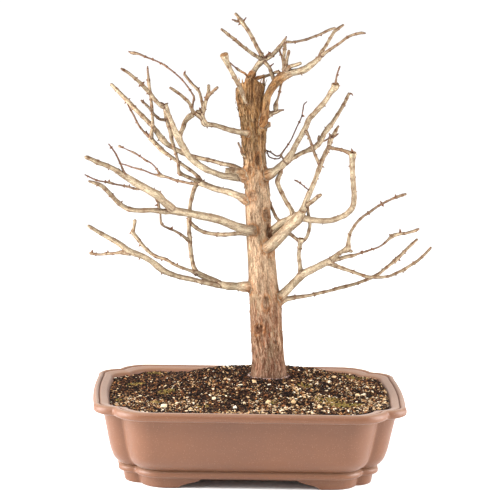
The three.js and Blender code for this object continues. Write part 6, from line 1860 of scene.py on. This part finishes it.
@dataclass
class Pot:
    """The stoneware pot: an indented rectangle with a beaded rim, a belt and bracket feet."""

    place: Place
    finish: Material
    lobe_steps: int = 9
    hollow_steps: int = 5
    run_steps: int = 8

    def arc(self, x: float, y: float, radius: float, start: float, end: float, steps: int) -> list[Row]:
        """Returns the points of an arc with both its ends, the angles in degrees."""
        points = []
        for i in range(steps + 1):
            angle = math.radians(start + (end - start) * i / steps)
            points.append((x + radius * math.cos(angle), y + radius * math.sin(angle)))
        return points

    def outline(self, inset: float, longer: float = 0.0) -> list[Row]:
        """Works out the pot's plan.

        Args:
            inset: how far inside the lip it runs.
            longer: how much less its ends are inset than its sides.

        Returns:
            The plan's points, the other way from a clock's hands, from the right side's middle.
        """
        half_length = POT_LENGTH / 2 - inset + longer
        half_depth = POT_DEPTH / 2 - inset
        shrink = 1 - inset / 220
        corner: list[Row] = []
        lobe_start = half_depth - END_LOBE[1] * shrink
        for k in range(self.run_steps):
            share = k / self.run_steps
            corner.append((half_length - END_BOW * shrink * share * share, lobe_start * share))
        turns = (
            (END_LOBE, 5, 81, self.lobe_steps),
            (HOLLOW, 254, 198, self.hollow_steps),
            (SIDE_LOBE, 24, 90, self.lobe_steps + 4),
        )
        for (from_end, from_side, radius), start, end, steps in turns:
            x, y = half_length - from_end * shrink, half_depth - from_side * shrink
            corner += self.arc(x, y, radius * shrink, start, end, steps)
        side_start = corner[-1][0]
        corner += [(side_start * (1 - k / self.run_steps), half_depth) for k in range(1, self.run_steps)]
        back = [(-x, y) for x, y in reversed(corner)]
        half = corner + [(0.0, half_depth)] + back
        return half[:-1] + [(-x, -y) for x, y in half[:-1]]

    def turned(self, profile: Sequence[Row], name: str, closed_loop: bool = False) -> Piece:
        """Sweeps a profile round the pot's plan.

        Args:
            profile: rows of inset, z and how much longer the plan is.
            name: the solid's name.
            closed_loop: whether the profile's end joins its start, as a hoop's does.

        Returns:
            The solid.
        """
        sides = len(self.outline(0.0))
        steps = len(profile) - 1
        shape = rod(sides, steps, capped=not closed_loop)
        plans = [self.outline(row[0], row[2]) for row in profile]
        for vertex in shape.verts:
            ring = round(vertex.co.z * steps)
            x, y = plans[ring][side_of(vertex.co, sides)]
            vertex.co = (x, y, profile[ring][1])
        if closed_loop:
            bmesh.ops.bridge_loops(shape, edges=[edge for edge in shape.edges if edge.is_boundary])
        bmesh.ops.recalc_face_normals(shape, faces=shape.faces)
        return settled_mesh(shape, name, self.place)

    def gap_cutter(self, cut_back: float, along_x: bool) -> Piece:
        """Builds the bar that cuts the gap between two feet.

        Args:
            cut_back: how much nearer to the middle its sides are than on the long side.
            along_x: whether the bar runs along the pot's long side.

        Returns:
            The bar as a solid.
        """
        side = smooth_rows(FOOT_GAP[1:], lambda _: 1.6)
        rows = [(FOOT_GAP[0][0] - cut_back, FOOT_GAP[0][1])] + [(row[0] - cut_back, row[1]) for row in side]
        rows += [(-x, z) for x, z in reversed(rows)]
        shape = bmesh.new()
        face = shape.faces.new([shape.verts.new((x, -POT_LENGTH, z)) for x, z in rows])
        pushed = bmesh.ops.extrude_face_region(shape, geom=[face])
        far = [item for item in pushed["geom"] if isinstance(item, bmesh.types.BMVert)]
        bmesh.ops.translate(shape, vec=(0, 2 * POT_LENGTH, 0), verts=far)
        if along_x:
            turn = Matrix.Rotation(math.radians(90), 3, "Z")
            bmesh.ops.rotate(shape, cent=(0, 0, 0), matrix=turn, verts=shape.verts)
        bmesh.ops.recalc_face_normals(shape, faces=shape.faces)
        return settled_mesh(shape, "foot_gap", self.place)

    def drill(self, side: int) -> Piece:
        """Builds the drill for one drain hole, on the side of that sign."""
        shape = bmesh.new()
        sizes = {"radius1": DRAIN_HOLE_RADIUS, "radius2": DRAIN_HOLE_RADIUS, "depth": 60}
        matrix = Matrix.Translation((side * DRAIN_HOLE_PLACE, 0, FLOOR_TOP))
        bmesh.ops.create_cone(shape, cap_ends=True, segments=48, matrix=matrix, **sizes)
        return settled_mesh(shape, "drill", self.place)

    def build(self) -> Piece:
        """Builds and dresses the pot.

        Returns:
            The pot's piece.
        """
        outside = smooth_rows(POT_OUTSIDE, lambda _: 1.7)
        inside = smooth_rows(POT_INSIDE, lambda _: 5.0)
        pot = self.turned(outside + inside, "pot_body")
        ring = [(row[0], max(row[1], 0.0), row[2]) for row in smooth_rows(FOOT_RING, lambda _: 1.1)]
        feet = self.turned(ring, "pot_feet", closed_loop=True)
        joined(feet, [self.gap_cutter(0.0, False), self.gap_cutter(END_GAP_CUT, True)], "DIFFERENCE")
        joined(pot, [feet], "UNION")
        joined(pot, [self.drill(-1), self.drill(1)], "DIFFERENCE")
        shade(pot, self.finish, crease=38)
        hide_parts("pot")
        return pot


def tinted() -> Shape:
    """Starts a shape that carries a tint at its vertices."""
    shape = bmesh.new()
    shape.verts.layers.float.new("tint")
    return shape


@dataclass
class Heap:
    """Gathers many small meshes into one piece, a batch at a time, because that is quicker."""

    whole: Shape = field(default_factory=tinted)
    batch: Shape = field(default_factory=tinted)
    waiting: int = 0
    batch_size: int = 300

    def add(self, mesh: bpy.types.Mesh) -> None:
        """Adds a mesh, which is used up."""
        self.batch.from_mesh(mesh)
        bpy.data.meshes.remove(mesh)
        self.waiting += 1
        if self.waiting == self.batch_size:
            self.pour()

    def pour(self) -> None:
        """Moves the batch into the whole."""
        mesh = bpy.data.meshes.new("batch")
        self.batch.to_mesh(mesh)
        self.whole.from_mesh(mesh)
        bpy.data.meshes.remove(mesh)
        self.batch.clear()
        self.waiting = 0

    def settled(self, name: str, place: Place) -> Piece:
        """Returns all of it as one object of that name."""
        self.pour()
        self.batch.free()
        return settled_mesh(self.whole, name, place)


@dataclass
class Soil:
    """The soil: a mounded bed with loose grit, clay crumbs, husks and moss on it."""

    place: Place
    pot: Pot
    trunk: Trunk
    seed: int = 23
    wall_inset: float = 21.2
    # The bed's wall from the pot's floor up: inset from the lip, and z.
    wall: tuple[Row, ...] = (
        (58.5, 24.4), (50.4, 26.0), (42.4, 31.5), (37.6, 42.0), (34.6, 55.0), (29.0, 80.4), (23.4, 98.0),
    )
    top_rings: int = 58
    collar_height: float = 124.0
    hole_heights: Row = (118.0, 100.0, 80.0, STUMP_BOTTOM - 0.4)
    dark_count: int = 9600
    clay_count: int = 3200
    husk_count: int = 3800
    sliver_count: int = 2600
    pumice_count: int = 1500
    fray_count: int = 170
    edge: list[Row] = field(default_factory=list)
    dice: Random = field(default_factory=Random)

    def __post_init__(self) -> None:
        """Seeds the chance by which grains and stems fall."""
        self.dice.seed(self.seed)

    def off_trunk(self, x: float, y: float) -> float:
        """Returns how far a place is from the trunk where it leaves the soil."""
        middle, half = self.trunk.girth_at(self.collar_height)
        return math.hypot(x - middle, y / TRUNK_DEPTH_RATIO) - half

    def room(self, x: float, y: float, margin: float) -> bool:
        """Returns whether a place lies on the soil, this far from the wall and off the trunk."""
        if self.off_trunk(x, y) < 0.6:
            return False
        if not self.edge:
            self.edge = self.pot.outline(self.wall_inset)
        reach = 1 + margin / math.hypot(x, y)
        outer_x, outer_y = x * reach, y * reach
        within = False
        for (ax, ay), (bx, by) in zip(self.edge, self.edge[1:] + self.edge[:1]):
            if (ay > outer_y) != (by > outer_y) and outer_x < ax + (bx - ax) * (outer_y - ay) / (by - ay):
                within = not within
        return within

    def bed_height(self, x: float, y: float) -> float:
        """Returns the height of the bed, lumpy as a hand leaves it."""
        lumps = noise_at(x * 0.045, y * 0.045, 3) + 0.5 * noise_at(x * 0.16, y * 0.16, 9)
        return soil_height(x, y) + 1.1 * lumps

    def bed(self, finish: Material) -> Piece:
        """Builds the bed, from the pot's floor to its top and down the hole of the trunk's foot.

        Args:
            finish: the soil's material.

        Returns:
            The bed's piece.
        """
        plan = self.pot.outline(self.wall_inset)
        sides = len(plan)
        first = len(self.wall)
        last = first + self.top_rings
        steps = last + len(self.hole_heights)
        shape = rod(sides, steps)
        walls = [self.pot.outline(inset) for inset, _ in self.wall]
        for vertex in shape.verts:
            ring = round(vertex.co.z * steps)
            side = side_of(vertex.co, sides)
            if ring < first:
                vertex.co = (*walls[ring][side], self.wall[ring][1])
                continue
            height = self.collar_height if ring <= last else self.hole_heights[ring - last - 1]
            middle, half = self.trunk.girth_at(height)
            x, y = plan[side]
            angle = math.atan2(y / TRUNK_DEPTH_RATIO, x - middle)
            ring_x = middle + (half + 0.5) * math.cos(angle)
            ring_y = (half + 0.5) * math.sin(angle) * TRUNK_DEPTH_RATIO
            if ring > last:
                vertex.co = (ring_x, ring_y, height)
                continue
            share = (ring - first) / self.top_rings
            x, y = x + (ring_x - x) * share, y + (ring_y - y) * share
            vertex.co = (x, y, self.bed_height(x, y) - 0.6)
        bmesh.ops.recalc_face_normals(shape, faces=shape.faces)
        bed = settled_mesh(shape, "soil_bed", self.place)
        shade(bed, finish, crease=50)
        return bed

    def stones(self, kinds: int, detail: int, stretch: Row) -> list[bpy.types.Mesh]:
        """Makes the few shapes that a kind of grain comes in.

        Args:
            kinds: how many shapes.
            detail: how finely each is cut.
            stretch: how long it is along each axis, before it is roughened.

        Returns:
            The shapes, each of radius 1 about.
        """
        shapes = []
        for kind in range(kinds):
            shape = bmesh.new()
            made = bmesh.ops.create_icosphere(shape, subdivisions=detail, radius=1.0)
            for vertex in made["verts"]:
                lump = 1 + 0.42 * noise.noise(vertex.co * 1.3 + Vector((kind * 5.1, 0, 0)))
                lump += self.dice.uniform(-0.1, 0.1)
                vertex.co = Vector([c * s for c, s in zip(vertex.co * lump, stretch)])
            mesh = bpy.data.meshes.new("grain_shape")
            shape.to_mesh(mesh)
            shape.free()
            mesh.attributes.new("tint", "FLOAT", "POINT")
            shapes.append(mesh)
        return shapes

    def scatter(
        self,
        name: str,
        shapes: Sequence[bpy.types.Mesh],
        spots: Iterable[tuple[float, float, float, float]],
        finish: Material,
    ) -> Piece:
        """Lays grains on the soil, half sunk in it.

        Args:
            name: the piece's name.
            shapes: the shapes to draw from.
            spots: x, y, size and sink of each grain.
            finish: the grains' material.

        Returns:
            The grains as one piece.
        """
        heap = Heap()
        for x, y, size, sink in spots:
            grain = self.dice.choice(shapes).copy()
            turn = Matrix.Rotation(self.dice.uniform(0, math.tau), 4, "Z")
            turn @= Matrix.Rotation(self.dice.uniform(-0.7, 0.7), 4, "X")
            turn @= Matrix.Rotation(self.dice.uniform(0, math.tau), 4, "Z")
            height = self.bed_height(x, y) + size * (0.45 - sink)
            grain.transform(Matrix.Translation((x, y, height)) @ turn @ Matrix.Scale(size, 4))
            grain.attributes["tint"].data.foreach_set("value", [self.dice.random()] * len(grain.vertices))
            heap.add(grain)
        piece = heap.settled(name, self.place)
        shade(piece, finish, crease=32)
        return piece

    def paleness(self, x: float, y: float) -> float:
        """Returns the share of pale grit at a place: little at the back left and round the trunk."""
        front = eased(40, -60, y)
        right = eased(-60, 60, x)
        ring = eased(34, 70, math.hypot(x - 26, y))
        patch = 0.5 + 1.3 * noise_at(x * 0.022, y * 0.035, 12) + 1.1 * noise_at(x * 0.07, y * 0.1, 3)
        patch = min(max(patch, 0.05), 1.0)
        return (0.07 + (0.42 + 0.28 * right) * front + 0.25 * right) * (0.04 + 0.96 * ring) * patch

    def pale_share(self, least: float) -> Callable[[float, float], float]:
        """Returns a rule for a grain's chance: this much everywhere, and more where pale grit lies."""
        return lambda x, y: least + self.paleness(x, y)

    def at_foot(self, x: float, y: float) -> float:
        """Returns 1 close round the trunk's foot and 0 elsewhere."""
        return float(self.off_trunk(x, y) < 3.0)

    def spots(
        self,
        count: int,
        sizes: tuple[float, float],
        chance: Callable[[float, float], float],
        sink: float,
    ) -> list[tuple[float, float, float, float]]:
        """Draws places for a kind of grain.

        Args:
            count: how many places.
            sizes: the smallest and largest radius.
            chance: gives the chance that a place is taken, 0 to 1.
            sink: how deep the grains sit, as a share of their size.

        Returns:
            Rows of x, y, size and sink.
        """
        found: list[tuple[float, float, float, float]] = []
        while len(found) < count:
            x = self.dice.uniform(-POT_LENGTH / 2, POT_LENGTH / 2)
            y = self.dice.uniform(-POT_DEPTH / 2, POT_DEPTH / 2)
            size = sizes[0] + (sizes[1] - sizes[0]) * self.dice.random() ** 2
            if self.room(x, y, size * 0.8) and self.dice.random() < chance(x, y):
                found.append((x, y, size, sink))
        return found

    def moss_stem(self) -> bpy.types.Mesh:
        """Makes the one stem that all the moss is made of."""
        stem = rod(4, 2)
        tint = stem.verts.layers.float.new("tint")
        for vertex in stem.verts:
            rise = vertex.co.z
            wide = 0.6 - 0.44 * rise
            vertex[tint] = rise
            vertex.co.x = vertex.co.x * wide + 0.35 * rise * rise
            vertex.co.y *= wide * (1.0 + 0.5 * math.sin(math.pi * rise))
        mesh = bpy.data.meshes.new("moss_stem")
        stem.to_mesh(mesh)
        stem.free()
        return mesh

    def moss(self, finish: Material) -> Piece:
        """Grows the moss: small leaning stems in cushions.

        Args:
            finish: the moss's material.

        Returns:
            The moss as one piece.
        """
        stem = self.moss_stem()
        heap = Heap()
        for x, y, reach, depth, count in MOSS_CUSHIONS:
            for _ in range(count):
                away, way = math.sqrt(self.dice.random()), self.dice.uniform(0, math.tau)
                px = x + away * reach * math.cos(way)
                py = y + away * depth * math.sin(way)
                if noise_at(px * 0.26, py * 0.26, 4) < 0.0 or not self.room(px, py, 1.0):
                    continue
                tall = self.dice.uniform(1.9, 3.6) * (1.15 - 0.5 * away)
                lean = Matrix.Rotation(self.dice.uniform(0, math.tau), 4, "Z")
                lean @= Matrix.Rotation(self.dice.uniform(-0.5, 0.5), 4, "Y")
                copy = stem.copy()
                foot = Matrix.Translation((px, py, self.bed_height(px, py) - 0.2))
                copy.transform(foot @ lean @ Matrix.Diagonal((1.0, 1.0, tall, 1.0)))
                heap.add(copy)
        piece = heap.settled("moss", self.place)
        shade(piece, finish)
        return piece

    def build(self) -> list[Piece]:
        """Builds and dresses the soil.

        Returns:
            The soil's pieces.
        """
        pieces = [self.bed(EarthFinish().material())]
        rough = self.stones(7, 1, (1.0, 0.9, 0.75))
        round_stones = self.stones(7, 2, (1.1, 0.95, 0.8))
        chips = self.stones(8, 1, (1.5, 0.85, 0.6))
        flakes = self.stones(6, 1, (2.0, 0.6, 0.4))
        plans = (
            ("grit_dark", rough, Crumb.DARK, self.dark_count, (0.9, 2.1), lambda x, y: 1.0, 0.15),
            ("grit_clay", chips, Crumb.CLAY, self.clay_count, (0.6, 1.4), self.pale_share(0.3), 0.0),
            ("husks", flakes, Crumb.HUSK, self.husk_count, (0.5, 1.2), self.pale_share(0.16), -0.3),
            ("slivers", flakes, Crumb.PUMICE, self.sliver_count, (0.35, 0.95), self.pale_share(0.03), -0.5),
            ("grit_pale", chips, Crumb.PUMICE, self.pumice_count, (0.5, 1.8), self.paleness, -0.1),
            ("frayed_bark", flakes, Crumb.FRAY, self.fray_count, (0.5, 1.3), self.at_foot, -0.6),
        )
        for name, shapes, crumb, count, sizes, chance, sink in plans:
            spots = self.spots(count, sizes, chance, sink)
            pieces.append(self.scatter(name, shapes, spots, crumb.material()))
        large = [(x, y, size, 0.0) for x, y, size in LARGE_PUMICE]
        pieces.append(self.scatter("stones_pale", round_stones, large, Crumb.PUMICE.material()))
        for mesh in rough + round_stones + chips + flakes:
            bpy.data.meshes.remove(mesh)
        pieces.append(self.moss(MossFinish().material()))
        for piece in pieces:
            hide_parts("soil")
        return pieces


@dataclass
class Studio:
    """The pale floor, the soft lights and the camera."""

    place: Place
    floor_radius: float = 40000.0
    sun_power: float = 2.55
    sun_spread: float = 34.0
    sun_way: Row = (-0.08, -0.568, 0.819)
    # The soft boxes: the name, where it hangs in the pot's frame, and its power.
    boxes: tuple = (("left_box", (-1400, -240, 520), 106), ("right_box", (1400, -100, 420), 76))
    box_size: Row = (1.0, 1.6)
    box_target: Row = (0, 0, 200)
    room_glow: float = 0.42
    wall_glow: float = 1.3

    def hang(self, lamp: bpy.types.Light, matrix: Matrix) -> None:
        """Puts a light in the scene."""
        hung = bpy.data.objects.new(lamp.name, lamp)
        hung.matrix_world = matrix
        bpy.context.scene.collection.objects.link(hung)

    def floor(self) -> None:
        """Lays a wide disc of pale paper under the pot."""
        shape = bmesh.new()
        bmesh.ops.create_circle(shape, cap_ends=True, segments=96, radius=self.floor_radius)
        floor = settled_mesh(shape, "floor", self.place)
        shade(floor, FloorFinish().material())

    def lights(self) -> None:
        """Hangs the ceiling's wide light and the two soft boxes."""
        ceiling = bpy.data.lights.new("ceiling", "SUN")
        ceiling.energy = self.sun_power
        ceiling.angle = math.radians(self.sun_spread)
        self.hang(ceiling, Vector(self.sun_way).to_track_quat("Z", "Y").to_matrix().to_4x4())
        target = self.place.point(*self.box_target)
        for name, spot, watts in self.boxes:
            lamp = bpy.data.lights.new(name, "AREA")
            lamp.shape = "RECTANGLE"
            lamp.size, lamp.size_y = self.box_size
            lamp.energy = watts
            start = self.place.point(*spot)
            turn = (start - target).to_track_quat("Z", "Y").to_matrix().to_4x4()
            self.hang(lamp, Matrix.Translation(start) @ turn)

    def room(self) -> None:
        """Whitens the surroundings, brightest at the foot of the back wall."""
        world = bpy.data.worlds.new("white_room")
        world.use_nodes = True
        backdrop = world.node_tree.nodes["Background"]
        backdrop.inputs["Color"].default_value = (1, 1, 1, 1)
        bench = Bench(world.node_tree)
        way = bench.parts(bench.node("ShaderNodeTexCoord", {}).outputs["Generated"])
        wall = bench.times(bench.spread(way[1], 0.1, 0.8), bench.spread(way[2], 0.45, 0.1))
        bench.feed(backdrop.inputs["Strength"], bench.spread(wall, 0.0, 1.0, self.room_glow, self.wall_glow))
        bpy.context.scene.world = world
        bpy.context.scene.view_settings.view_transform = "Standard"

    def camera(self) -> None:
        """Sets the camera at the photograph's viewpoint."""
        yaw, pitch, roll = (math.radians(angle) for angle in (EYE_YAW, EYE_PITCH, EYE_ROLL))
        level = math.cos(pitch)
        forward = Vector((math.sin(yaw) * level, math.cos(yaw) * level, -math.sin(pitch)))
        right = Vector((math.cos(yaw), -math.sin(yaw), 0))
        up = right.cross(forward)
        turned_right = right * math.cos(roll) + up * math.sin(roll)
        turned_up = up * math.cos(roll) - right * math.sin(roll)
        lens = bpy.data.cameras.new("view")
        lens.lens = EYE_LENS
        lens.sensor_width = FILM
        lens.sensor_fit = "HORIZONTAL"
        lens.clip_end = EYE_REACH
        view = bpy.data.objects.new("view", lens)
        turn = Matrix((turned_right, turned_up, -forward)).transposed().to_4x4()
        view.matrix_world = Matrix.Translation(self.place.point(*EYE)) @ turn
        bpy.context.scene.collection.objects.link(view)
        bpy.context.scene.camera = view

    def build(self) -> None:
        """Sets up the whole studio."""
        self.floor()
        self.lights()
        self.room()
        self.camera()


def main() -> None:
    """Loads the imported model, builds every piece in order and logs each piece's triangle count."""
    logging.basicConfig(level=logging.INFO, format="%(message)s")
    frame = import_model()
    low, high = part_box("pot")
    place = Place(Vector(((low[0] + high[0]) / 2, (low[1] + high[1]) / 2, low[2])))
    Studio(place).build()
    pot = Pot(place, StonewareFinish().material())
    tree = Tree(place, BarkFinish().material(), BudFinish().material())
    for piece in (pot.build(), *tree.build(), *Soil(place, pot, tree.trunk).build()):
        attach(piece, "root")
        LOG.info("%s: %d triangles", piece.name, sum(len(face.vertices) - 2 for face in piece.data.polygons))
    screen = MeshFinish().material()
    for name in SCREENS:
        materials = frame["nodes"][name].data.materials
        materials.clear()
        materials.append(screen)


if __name__ == "__main__":
    main()
